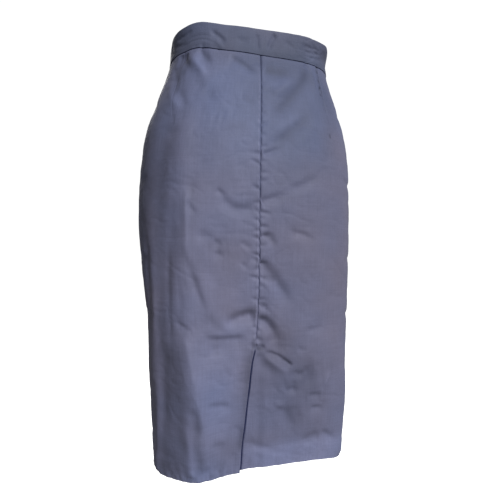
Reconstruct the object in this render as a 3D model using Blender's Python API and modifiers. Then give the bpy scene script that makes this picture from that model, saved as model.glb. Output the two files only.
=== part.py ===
"""Pencil skirt: two back panels with a lapped vent, one front panel, a folded
waistband and a concealed zip in the right side seam, standing hollow as worn.

Frame: metres, +Z up, the back of the skirt faces -Y and the wearer's right
is +X. The origin is the middle of the waist hollow, half way up the band.
Heights in the tables are centimetres above the mean hem.
"""

import math

import bmesh
import bpy
import numpy as np
from mathutils import Vector

# ---------------------------------------------------------------- sizes
LENGTH = 0.660            # top of the band to the hem
BAND_HEIGHT = 0.037
CLOTH = 0.0015            # one layer with its turned edge
BAND_CLOTH = 0.0030       # folded double with interfacing
BAND_PROUD = 0.0005       # the band stands this far out of the panels
SEAM_GAP = 0.0003
VENT_HEIGHT = 0.190       # hem to the top of the back vent
UNDERLAP_WIDTH = 0.050    # the extension that lies under the overlap
UNDERLAP_SLANT = 0.55     # fall of the extension's top edge, per width
ZIP_LENGTH = 0.185
ZIP_WIDTH = 0.024
ZIP_TAPE = 0.0010
ZIP_CLEAR = 0.0006         # more room for the tape where the wall slopes

BAND_SEAM = LENGTH - BAND_HEIGHT
BAND_MIDDLE = LENGTH - BAND_HEIGHT / 2.0

# Sections of the skirt, a row for each height. Widths and depths are half
# sizes; boxiness is the superellipse's exponent (2 is an ellipse); lean is
# the section's shift towards +X.
SECTION_COLUMNS = ("height", "half_width", "back_depth", "front_depth",
                   "boxiness", "lean")
SECTIONS = (
    (66.0, 13.17, 10.15, 9.85, 3.25, 0.37),    # top of the band
    (62.3, 13.36, 10.05, 9.80, 2.98, 0.25),    # band seam
    (60.0, 13.96, 10.55, 10.25, 2.92, 0.20),
    (57.0, 15.04, 11.25, 10.80, 2.84, 0.13),
    (53.5, 16.12, 11.98, 11.42, 2.92, 0.01),
    (50.0, 16.89, 12.50, 11.90, 3.05, -0.13),
    (46.0, 17.33, 12.79, 12.15, 3.10, -0.21),
    (42.0, 17.52, 12.86, 12.20, 3.12, -0.27),  # hip
    (36.0, 17.53, 12.67, 12.10, 3.35, -0.30),
    (30.0, 17.10, 12.22, 11.80, 3.90, -0.22),
    (22.0, 16.45, 11.62, 11.40, 4.70, -0.05),
    (14.0, 16.23, 11.98, 11.45, 4.15, 0.08),
    (7.0, 15.85, 11.90, 11.40, 4.10, 0.09),
    (0.0, 15.25, 11.38, 11.10, 4.50, -0.03),   # hem
)

# The waist and the hem are not quite level: rise for each unit of x and y,
# and the heights between which the slope comes in.
TILT_COLUMNS = ("from_height", "to_height", "rise_x", "rise_y")
TILTS = (
    (50.0, 62.0, -0.011, 0.002),   # waist
    (22.0, 0.0, 0.015, 0.000),     # hem
)

# The largest folds. Places run round the skirt in quarters: 0 is the centre
# back seam, 1 the right side seam, -1 the left side seam, 2 the centre
# front. Depth is in millimetres, outwards; fade is in centimetres.
FOLD_COLUMNS = ("place_top", "place_bottom", "top", "bottom", "half_width",
                "depth", "fade")
FOLDS = (
    (-0.46, -0.41, 47.0, 3.0, 0.060, 3.0, 7.0),    # left back corner edge
    (-0.59, -0.60, 48.0, 10.0, 0.060, -3.5, 6.0),  # hollow beside it
    (-0.42, -0.40, 12.0, -2.0, 0.130, 6.0, 7.0),   # left corner at the hem
    (0.08, 0.10, 12.0, -2.0, 0.300, -5.0, 8.0),    # flat of the back hem
    (0.52, 0.52, 10.0, -2.0, 0.120, 3.0, 7.0),     # right corner at the hem
    (1.55, 1.52, 40.0, -2.0, 0.120, 4.0, 8.0),     # right front drape
    (-1.50, -1.46, 34.0, -2.0, 0.130, 4.5, 8.0),   # left front drape
    (2.05, 2.02, 24.0, -2.0, 0.200, -4.0, 9.0),    # flat of the front hem
)

# The line of the centre back seam and, below the vent's top, of the
# overlap's folded edge, which has swung open: centimetres to the right.
BACK_LINE_COLUMNS = ("height", "aside")
BACK_LINE = (
    (66.0, 0.00),
    (30.0, 0.00),
    (26.8, -0.12),
    (22.4, -0.38),
    (19.0, -0.72),   # top of the vent
    (16.0, -1.48),
    (12.6, -1.88),
    (8.2, -2.42),
    (4.2, -2.74),
    (0.0, -2.74),    # hem
)

# The hem dips and lifts between the corners: drop is in millimetres.
HEM_DIP_COLUMNS = ("place", "half_width", "drop")
HEM_DIPS = (
    (-0.34, 0.14, 3.5),   # left back corner hangs low
    (0.22, 0.28, -1.5),   # middle of the right back lifts
    (0.68, 0.16, 4.0),    # right back corner
    (1.50, 0.20, 3.0),
    (-1.48, 0.20, 3.0),
)
HEM_DIP_REACH = 0.140     # height over which the dips fade out

# Rows of vertices down a panel and columns round each quarter.
PANEL_ROWS = 27
VENT_ROWS = 8
QUARTER_COLUMNS = 13
UNDERLAP_COLUMNS = 4
BAND_ROWS = 2


def smooth_curve(xs, ys, x):
    """Cubic through the table's points, with centred slopes."""
    xs, ys = np.asarray(xs, float), np.asarray(ys, float)
    slope = np.gradient(ys, xs)
    x = min(max(x, xs[0]), xs[-1])
    i = min(max(int(np.searchsorted(xs, x)) - 1, 0), len(xs) - 2)
    step = xs[i + 1] - xs[i]
    t = (x - xs[i]) / step
    return float((2 * t**3 - 3 * t**2 + 1) * ys[i]
                 + (t**3 - 2 * t**2 + t) * step * slope[i]
                 + (-2 * t**3 + 3 * t**2) * ys[i + 1]
                 + (t**3 - t**2) * step * slope[i + 1])


def ease(t):
    t = min(max(t, 0.0), 1.0)
    return t * t * (3.0 - 2.0 * t)


class Section:
    """One horizontal ring of the skirt, walked by quarters of its length."""

    STEPS = 160

    def __init__(self, height):
        rows = sorted(SECTIONS)
        column = {name: [row[i] for row in rows]
                  for i, name in enumerate(SECTION_COLUMNS)}
        cm = height * 100.0
        read = lambda name: smooth_curve(column["height"], column[name], cm)
        self.width = read("half_width") / 100.0
        self.back = read("back_depth") / 100.0
        self.front = read("front_depth") / 100.0
        self.boxiness = read("boxiness")
        self.lean = read("lean") / 100.0
        self.walks = {side: self._walk(depth) for side, depth in
                      (("back", self.back), ("front", self.front))}

    def _walk(self, depth):
        angle = np.linspace(0.0, math.pi / 2.0, self.STEPS + 1)
        n = self.boxiness
        radius = ((np.sin(angle) / self.width) ** n
                  + (np.cos(angle) / depth) ** n) ** (-1.0 / n)
        x, y = radius * np.sin(angle), radius * np.cos(angle)
        length = np.concatenate(
            [[0.0], np.cumsum(np.hypot(np.diff(x), np.diff(y)))])
        return length, x, y

    def quarter(self, side):
        """Length of the back or front quarter."""
        return float(self.walks[side][0][-1])

    def at(self, place):
        """Point and outward normal at a place counted in quarters."""
        place = (place + 2.0) % 4.0 - 2.0
        across = 1.0 if place >= 0.0 else -1.0
        place = abs(place)
        side = "back" if place <= 1.0 else "front"
        part = place if side == "back" else 2.0 - place
        length, xs, ys = self.walks[side]
        x = float(np.interp(part * length[-1], length, xs))
        y = float(np.interp(part * length[-1], length, ys))
        depth = self.back if side == "back" else self.front
        n = self.boxiness
        normal = Vector(((x / self.width) ** (n - 1) / self.width,
                         (y / depth) ** (n - 1) / depth, 0.0)).normalized()
        facing = -1.0 if side == "back" else 1.0
        return (Vector((across * x + self.lean, facing * y, 0.0)),
                Vector((across * normal.x, facing * normal.y, 0.0)))


SECTION_CACHE = {}


def section(height):
    key = round(height, 6)
    if key not in SECTION_CACHE:
        SECTION_CACHE[key] = Section(height)
    return SECTION_CACHE[key]


def fold_depth(place, height):
    """Outward shift of the cloth from the table of folds."""
    cm = height * 100.0
    total = 0.0
    for row in FOLDS:
        fold = dict(zip(FOLD_COLUMNS, row))
        run = ease((fold["top"] - cm) / max(fold["top"] - fold["bottom"], 1e-6))
        centre = (fold["place_top"]
                  + (fold["place_bottom"] - fold["place_top"]) * run)
        away = (place - centre + 2.0) % 4.0 - 2.0
        across = math.exp(-(away / fold["half_width"]) ** 2)
        along = (ease((fold["top"] + fold["fade"] - cm) / fold["fade"])
                 * ease((cm - fold["bottom"] + fold["fade"]) / fold["fade"]))
        total += fold["depth"] / 1000.0 * across * along
    return total


def level(point, place, height):
    """Rise of the waist and the hem away from level."""
    cm = height * 100.0
    rise = 0.0
    near_hem = ease((HEM_DIP_REACH - height) / HEM_DIP_REACH)
    for row in HEM_DIPS:
        dip = dict(zip(HEM_DIP_COLUMNS, row))
        away = (place - dip["place"] + 2.0) % 4.0 - 2.0
        rise -= (dip["drop"] / 1000.0 * near_hem
                 * math.exp(-(away / dip["half_width"]) ** 2))
    for row in TILTS:
        tilt = dict(zip(TILT_COLUMNS, row))
        share = (cm - tilt["from_height"]) / (tilt["to_height"]
                                              - tilt["from_height"])
        share = min(max(share, 0.0), 1.0)
        rise += share * (tilt["rise_x"] * point.x + tilt["rise_y"] * point.y)
    return rise


def cloth_point(place, height, out=0.0):
    """A point of the skirt's outer face, moved outwards by out."""
    point, normal = section(height).at(place)
    raised = level(point, place, height)
    point = point + normal * (fold_depth(place, height) + out)
    point.z = height - BAND_MIDDLE + raised
    return point


def place_shift(place, height, distance):
    """The place a distance further round, at one height."""
    side = "back" if abs(place) < 1.0 or (
        abs(place) == 1.0 and distance * place < 0.0) else "front"
    return place + distance / section(height).quarter(side)


# ------------------------------------------------------------ modelling
def fresh_scene():
    for existing in list(bpy.data.objects):
        bpy.data.objects.remove(existing, do_unlink=True)
    for name in ("pencil_skirt", "cutters"):
        if name not in bpy.data.collections:
            made = bpy.data.collections.new(name)
            bpy.context.scene.collection.children.link(made)


def make_material(name, colour, roughness, metallic=0.0):
    material = bpy.data.materials.new(name)
    material.use_nodes = True
    shader = material.node_tree.nodes["Principled BSDF"]
    shader.inputs["Base Color"].default_value = (*colour, 1.0)
    shader.inputs["Roughness"].default_value = roughness
    shader.inputs["Metallic"].default_value = metallic
    return material


def add_object(name, mesh, material, collection="pencil_skirt"):
    made = bpy.data.objects.new(name, mesh)
    bpy.data.collections[collection].objects.link(made)
    if material is not None:
        mesh.materials.append(material)
    return made


def solidify(made, thickness):
    wall = made.modifiers.new("wall", "SOLIDIFY")
    wall.thickness = thickness
    wall.offset = -1.0
    wall.use_even_offset = True
    wall.use_rim = True


def loft_sheet(name, patches, material, thickness):
    """Open sheet through patches of rows of points, then a cloth wall.

    Each patch is a list of rows from the top down, every row running the
    same way round; points that patches share are joined.
    """
    mesh = bpy.data.meshes.new(name)
    bm = bmesh.new()
    for patch in patches:
        grid = [[bm.verts.new(point) for point in row] for row in patch]
        for upper, lower in zip(grid, grid[1:]):
            for j in range(len(upper) - 1):
                bm.faces.new((upper[j], lower[j], lower[j + 1], upper[j + 1]))
    bmesh.ops.remove_doubles(bm, verts=bm.verts, dist=0.00001)
    bmesh.ops.recalc_face_normals(bm, faces=bm.faces)
    bm.to_mesh(mesh)
    bm.free()
    mesh.update()
    # the sheet's faces point away from the skirt's axis
    outward = sum((Vector((f.center.x, f.center.y, 0.0)).dot(f.normal)
                   for f in mesh.polygons), 0.0)
    if outward < 0.0:
        mesh.flip_normals()
    mesh.shade_smooth()
    made = add_object(name, mesh, material)
    solidify(made, thickness)
    return made


def spaced(first, last, count, edge=0.10):
    """Places from first to last, with narrow columns beside both seams."""
    inner = np.linspace(first, last, count)
    step = inner[1] - inner[0]
    return ([first, first + step * edge * 2.0] + list(inner[1:-1])
            + [last - step * edge * 2.0, last])


def panel_heights():
    """Heights of the rows: an even run with one on the vent's top."""
    top = BAND_SEAM - SEAM_GAP / 2.0
    above = np.linspace(top, VENT_HEIGHT, PANEL_ROWS - VENT_ROWS + 1)
    below = np.linspace(VENT_HEIGHT, 0.0, VENT_ROWS + 1)
    return list(above) + list(below[1:])


def seam_place(place, height, towards):
    """A panel's edge beside a seam, half the seam's gap away from it."""
    return place_shift(place, height, towards * SEAM_GAP / 2.0)


def back_line(height):
    """How far the back seam or the overlap's edge lies from the centre."""
    rows = sorted(BACK_LINE)
    return smooth_curve([row[0] for row in rows], [row[1] for row in rows],
                        height * 100.0) / 100.0


def build_back_left(material):
    rows = []
    for height in panel_heights():
        left = seam_place(-1.0, height, 1.0)
        right = place_shift(0.0, height, back_line(height) - SEAM_GAP / 2.0)
        rows.append([cloth_point(place, height)
                     for place in spaced(left, right, QUARTER_COLUMNS)])
    return loft_sheet("back_left", [rows], material, CLOTH)


def underlap_depth(distance):
    """How far the right back sinks to pass under the overlap."""
    sunk = CLOTH + SEAM_GAP + 0.0006
    return -sunk * ease((0.016 - distance) / 0.014)


def build_back_right(material):
    heights = panel_heights()
    rows = []
    for height in heights:
        line = back_line(max(height, VENT_HEIGHT)) + SEAM_GAP / 2.0
        left = place_shift(0.0, height, line)
        right = seam_place(1.0, height, -1.0)
        quarter = section(height).quarter("back")
        below = ease((VENT_HEIGHT + 0.020 - height) / 0.019)
        rows.append([
            cloth_point(place, height,
                        below * underlap_depth(place * quarter - line))
            for place in spaced(left, right, QUARTER_COLUMNS)])
    # the underlap, from its slanted top edge down to the hem
    patch = []
    line = back_line(VENT_HEIGHT) + SEAM_GAP / 2.0
    share = np.linspace(0.0, 1.0, VENT_ROWS + 1)
    for s in share:
        row = []
        for k in range(UNDERLAP_COLUMNS + 1):
            out_by = UNDERLAP_WIDTH * (1.0 - k / UNDERLAP_COLUMNS)
            top = VENT_HEIGHT - out_by * UNDERLAP_SLANT
            height = top * (1.0 - s)
            place = place_shift(0.0, height, line - out_by)
            row.append(cloth_point(place, height, underlap_depth(-out_by)))
        patch.append(row)
    # share the seam column with the panel below the vent's top
    for row, panel_row in zip(patch, rows[len(heights) - VENT_ROWS - 1:]):
        row[-1] = panel_row[0].copy()
    return loft_sheet("back_right", [rows, patch], material, CLOTH)


def build_front(material):
    rows = []
    for height in panel_heights():
        first = seam_place(1.0, height, 1.0)
        last = 4.0 + seam_place(-1.0, height, -1.0)
        rows.append([cloth_point(place, height)
                     for place in spaced(first, last, 2 * QUARTER_COLUMNS - 1)])
    return loft_sheet("front", [rows], material, CLOTH)


def band_end(height, towards):
    """The band's two ends, which part a little round the slider."""
    spread = 0.0011 * ease((height - (LENGTH - 0.014)) / 0.006)
    return place_shift(1.0, height, towards * (SEAM_GAP / 2.0 + spread))


def build_waistband(material):
    low = BAND_SEAM + SEAM_GAP / 2.0
    heights = [LENGTH, LENGTH - 0.0045, LENGTH - 0.0110, LENGTH - 0.0160] + \
        list(np.linspace(LENGTH - 0.0160, low, BAND_ROWS + 1)[1:])
    rows = []
    for height in heights:
        first = band_end(height, 1.0)
        last = 4.0 + band_end(height, -1.0)
        rows.append([cloth_point(place, height, BAND_PROUD)
                     for place in spaced(first, last, 4 * QUARTER_COLUMNS - 7)])
    return loft_sheet("waistband", [rows], material, BAND_CLOTH)


ZIP_TOP = LENGTH - 0.0125
ZIP_STEPS = 14


def build_zip_tape(material):
    """The closed tape, just inside the right side seam."""
    behind_panel = -(CLOTH + SEAM_GAP + ZIP_CLEAR)
    behind_band = BAND_PROUD - BAND_CLOTH - SEAM_GAP
    rows = []
    for height in np.linspace(ZIP_TOP, ZIP_TOP - ZIP_LENGTH, ZIP_STEPS + 1):
        share = ease((height - (BAND_SEAM - 0.010)) / 0.008)
        depth = behind_panel + (behind_band - behind_panel) * share
        row = []
        for part in (-1.0, -0.5, 0.0, 0.5, 1.0):
            place = place_shift(1.0, height, part * ZIP_WIDTH / 2.0) \
                if part else 1.0
            row.append(cloth_point(place, height, depth))
        rows.append(row)
    return loft_sheet("zip_tape", [rows], material, ZIP_TAPE)


# ------------------------------------------------------- slider and pull
SLIDER_HEIGHT = LENGTH - 0.0065   # the pull's hinge, above the hem
BODY_SIZE = (0.0026, 0.0070, 0.0085)     # out, along the waist, up
NECK_WIDTH = 0.0012
NECK_TALL = 0.0048
HINGE_OUT = 0.0019                # hinge axis in front of the band
BAIL_RADIUS = 0.0019
BAIL_WIRE = 0.00045
PULL_LENGTH = 0.0175
PULL_WIDTH_TOP = 0.0046
PULL_WIDTH_LOW = 0.0062
PULL_THICK = 0.0009
PULL_BAR = 0.00055                # top bar, half its height
EYE_LENGTH = 0.0030
EYE_WIDTH = 0.0024


def box_mesh(name, size, centre, bevel=0.0):
    bm = bmesh.new()
    bmesh.ops.create_cube(bm, size=1.0)
    for vert in bm.verts:
        vert.co = Vector((vert.co.x * size[0], vert.co.y * size[1],
                          vert.co.z * size[2])) + centre
    if bevel:
        bmesh.ops.bevel(bm, geom=list(bm.edges), offset=bevel, segments=2,
                        affect="EDGES", profile=0.5)
    mesh = bpy.data.meshes.new(name)
    bm.to_mesh(mesh)
    bm.free()
    return mesh


def join_boolean(target, tool, operation):
    change = target.modifiers.new(operation.lower(), "BOOLEAN")
    change.operation = operation
    change.solver = "EXACT"
    change.object = tool
    tool.hide_render = True
    tool.display_type = "WIRE"


def band_face():
    """A point on the band's outer face where the slider sits."""
    return cloth_point(1.0, SLIDER_HEIGHT, BAND_PROUD)


def hinge_point():
    return band_face() + Vector((HINGE_OUT, 0.0, 0.0))


def build_slider(material):
    face = band_face()
    tape_inside = BAND_CLOTH + SEAM_GAP + ZIP_TAPE + SEAM_GAP
    body_centre = face + Vector((-(tape_inside + BODY_SIZE[0] / 2.0), 0.0,
                                 -0.0022))
    body = add_object("zip_slider",
                      box_mesh("zip_slider", BODY_SIZE, body_centre, 0.0006),
                      material)
    inner = face.x - tape_inside - BODY_SIZE[0] / 2.0
    outer = face.x + 0.0007
    neck_size = (outer - inner, NECK_WIDTH, NECK_TALL)
    neck = add_object(
        "slider_neck",
        box_mesh("slider_neck", neck_size,
                 Vector(((inner + outer) / 2.0, face.y, face.z))),
        None, "cutters")
    # the bail, an arch of wire round the hinge axis
    hinge = hinge_point()
    curve = bpy.data.curves.new("slider_bail", "CURVE")
    curve.dimensions = "3D"
    curve.bevel_depth = BAIL_WIRE
    curve.bevel_resolution = 2
    curve.use_fill_caps = True
    spline = curve.splines.new("POLY")
    angles = np.linspace(math.radians(128.0), math.radians(-128.0), 15)
    spline.points.add(len(angles) - 1)
    for point, angle in zip(spline.points, angles):
        point.co = (hinge.x + BAIL_RADIUS * math.cos(angle), hinge.y,
                    hinge.z + BAIL_RADIUS * math.sin(angle), 1.0)
    holder = bpy.data.objects.new("slider_bail_curve", curve)
    bpy.data.collections["cutters"].objects.link(holder)
    bpy.context.view_layer.update()
    graph = bpy.context.evaluated_depsgraph_get()
    mesh = bpy.data.meshes.new_from_object(holder.evaluated_get(graph))
    bm = bmesh.new()
    bm.from_mesh(mesh)
    bmesh.ops.remove_doubles(bm, verts=bm.verts, dist=0.000001)
    bmesh.ops.recalc_face_normals(bm, faces=bm.faces)
    bm.to_mesh(mesh)
    bm.free()
    bail = add_object("slider_bail", mesh, None, "cutters")
    bail.matrix_world = holder.matrix_world.copy()
    bpy.data.objects.remove(holder, do_unlink=True)
    join_boolean(body, neck, "UNION")
    join_boolean(body, bail, "UNION")
    return body


def build_pull(material):
    """A teardrop tab with an eye, hung on the slider's bail."""
    outline = []
    top_radius = PULL_WIDTH_TOP / 2.0
    low_radius = PULL_WIDTH_LOW / 2.0
    top_centre = PULL_BAR - top_radius
    low_centre = PULL_BAR - PULL_LENGTH + low_radius
    for k in range(9):
        angle = math.pi * k / 8.0
        outline.append((top_radius * math.cos(angle),
                        top_centre + top_radius * math.sin(angle)))
    for k in range(11):
        angle = math.pi + math.pi * k / 10.0
        outline.append((low_radius * math.cos(angle),
                        low_centre + low_radius * math.sin(angle)))
    bm = bmesh.new()
    half = PULL_THICK / 2.0
    face = bm.faces.new([bm.verts.new((-half, y, z)) for y, z in outline])
    grown = bmesh.ops.extrude_face_region(bm, geom=[face])
    moved = [g for g in grown["geom"] if isinstance(g, bmesh.types.BMVert)]
    bmesh.ops.translate(bm, verts=moved, vec=(PULL_THICK, 0.0, 0.0))
    bmesh.ops.recalc_face_normals(bm, faces=bm.faces)
    mesh = bpy.data.meshes.new("zip_pull")
    bm.to_mesh(mesh)
    bm.free()
    pull = add_object("zip_pull", mesh, material)
    pull.location = hinge_point()
    eye = add_object(
        "pull_eye",
        box_mesh("pull_eye", (PULL_THICK * 4.0, EYE_WIDTH, EYE_LENGTH),
                 Vector((0.0, 0.0, -PULL_BAR - EYE_LENGTH / 2.0))),
        None, "cutters")
    eye.location = hinge_point()
    join_boolean(pull, eye, "DIFFERENCE")
    return pull


def build():
    fresh_scene()
    back = make_material("twill_back", (0.155, 0.165, 0.270), 0.62)
    back_right = make_material("twill_back_right", (0.155, 0.165, 0.270), 0.62)
    front = make_material("twill_front", (0.155, 0.165, 0.270), 0.62)
    band = make_material("twill_band", (0.135, 0.150, 0.235), 0.64)
    tape = make_material("zip_tape", (0.100, 0.110, 0.180), 0.80)
    slider = make_material("zip_slider", (0.110, 0.120, 0.190), 0.35, 0.4)
    pull = make_material("zip_pull", (0.110, 0.120, 0.190), 0.35, 0.4)
    build_back_left(back)
    build_back_right(back_right)
    build_front(front)
    build_waistband(band)
    build_zip_tape(tape)
    build_slider(slider)
    build_pull(pull)


build()
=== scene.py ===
import math

import bmesh
import bpy
import numpy as np
from mathutils import Matrix, Vector


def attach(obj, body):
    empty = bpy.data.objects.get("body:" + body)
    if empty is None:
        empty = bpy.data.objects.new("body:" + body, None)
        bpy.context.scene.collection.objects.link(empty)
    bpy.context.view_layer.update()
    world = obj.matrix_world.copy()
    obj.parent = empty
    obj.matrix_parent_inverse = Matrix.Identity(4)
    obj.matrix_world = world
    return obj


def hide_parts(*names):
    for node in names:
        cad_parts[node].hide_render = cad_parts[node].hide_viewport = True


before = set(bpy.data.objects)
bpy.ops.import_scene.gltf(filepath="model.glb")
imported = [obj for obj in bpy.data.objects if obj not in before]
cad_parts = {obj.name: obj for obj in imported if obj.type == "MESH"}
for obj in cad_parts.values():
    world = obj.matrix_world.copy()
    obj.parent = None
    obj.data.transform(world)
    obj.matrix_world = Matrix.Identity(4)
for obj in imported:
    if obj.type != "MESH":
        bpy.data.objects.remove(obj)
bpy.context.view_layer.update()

# Pencil skirt, seen from behind. Heights are metres above the mean hem, and
# centimetres in the tables. A place runs round the skirt in quarters: 0 is
# the centre back seam, 1 the wearer's right side seam (+X), 2 the centre
# front and 3 (or -1) the left side seam. "Run" is a place times 25, so it
# reads as centimetres at the hip.

# ------------------------------------------------------- sizes, as in the CAD
LENGTH = 0.660
BAND_HEIGHT = 0.037
CLOTH = 0.0015
BAND_CLOTH = 0.0030
BAND_PROUD = 0.0005
SEAM_GAP = 0.0003
VENT_HEIGHT = 0.190
UNDERLAP_WIDTH = 0.050
UNDERLAP_SLANT = 0.55
ZIP_LENGTH = 0.185
ZIP_WIDTH = 0.024
ZIP_TAPE = 0.0010
ZIP_CLEAR = 0.0006
BAND_SEAM = LENGTH - BAND_HEIGHT
BAND_MIDDLE = LENGTH - BAND_HEIGHT / 2.0
ZIP_TOP = LENGTH - 0.0125

SECTION_COLUMNS = ("height", "half_width", "back_depth", "front_depth",
                   "boxiness", "lean")
SECTIONS = (
    (66.0, 13.17, 10.15, 9.85, 3.25, 0.37),
    (62.3, 13.36, 10.05, 9.80, 2.98, 0.25),
    (60.0, 13.96, 10.55, 10.25, 2.92, 0.20),
    (57.0, 15.04, 11.25, 10.80, 2.84, 0.13),
    (53.5, 16.12, 11.98, 11.42, 2.92, 0.01),
    (50.0, 16.89, 12.50, 11.90, 3.05, -0.13),
    (46.0, 17.33, 12.79, 12.15, 3.10, -0.21),
    (42.0, 17.52, 12.86, 12.20, 3.12, -0.27),
    (36.0, 17.53, 12.67, 12.10, 3.35, -0.30),
    (30.0, 17.10, 12.22, 11.80, 3.90, -0.22),
    (22.0, 16.45, 11.62, 11.40, 4.70, -0.05),
    (14.0, 16.23, 11.98, 11.45, 4.15, 0.08),
    (7.0, 15.85, 11.90, 11.40, 4.10, 0.09),
    (0.0, 15.25, 11.38, 11.10, 4.50, -0.03),
)
TILTS = (
    (50.0, 62.0, -0.011, 0.002),
    (22.0, 0.0, 0.015, 0.000),
)
FOLDS = (
    (-0.46, -0.41, 47.0, 3.0, 0.060, 3.0, 7.0),
    (-0.59, -0.60, 48.0, 10.0, 0.060, -3.5, 6.0),
    (-0.42, -0.40, 12.0, -2.0, 0.130, 6.0, 7.0),
    (0.08, 0.10, 12.0, -2.0, 0.300, -5.0, 8.0),
    (0.52, 0.52, 10.0, -2.0, 0.120, 3.0, 7.0),
    (1.55, 1.52, 40.0, -2.0, 0.120, 4.0, 8.0),
    (-1.50, -1.46, 34.0, -2.0, 0.130, 4.5, 8.0),
    (2.05, 2.02, 24.0, -2.0, 0.200, -4.0, 9.0),
)
BACK_LINE = (
    (66.0, -0.10), (60.0, -0.14), (53.0, -0.23), (38.0, -0.23), (30.0, -0.16),
    (26.8, -0.21), (22.4, -0.38), (19.0, -0.76), (16.0, -1.48), (12.6, -1.88),
    (8.2, -2.42), (4.2, -2.84), (0.0, -3.00),
)
HEM_DIPS = (
    (-0.34, 0.14, 3.5), (0.22, 0.28, -0.7), (0.68, 0.16, 5.0),
    (0.60, 0.10, 4.0),
    (1.50, 0.20, 3.0), (-1.48, 0.20, 3.0),
)
HEM_DIP_REACH = 0.140
# where the waist seam sits higher than drafted: place, half width, mm
SEAM_RISES = ((-0.475, 0.115, 3.4), (0.09, 0.28, -1.8))

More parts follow.
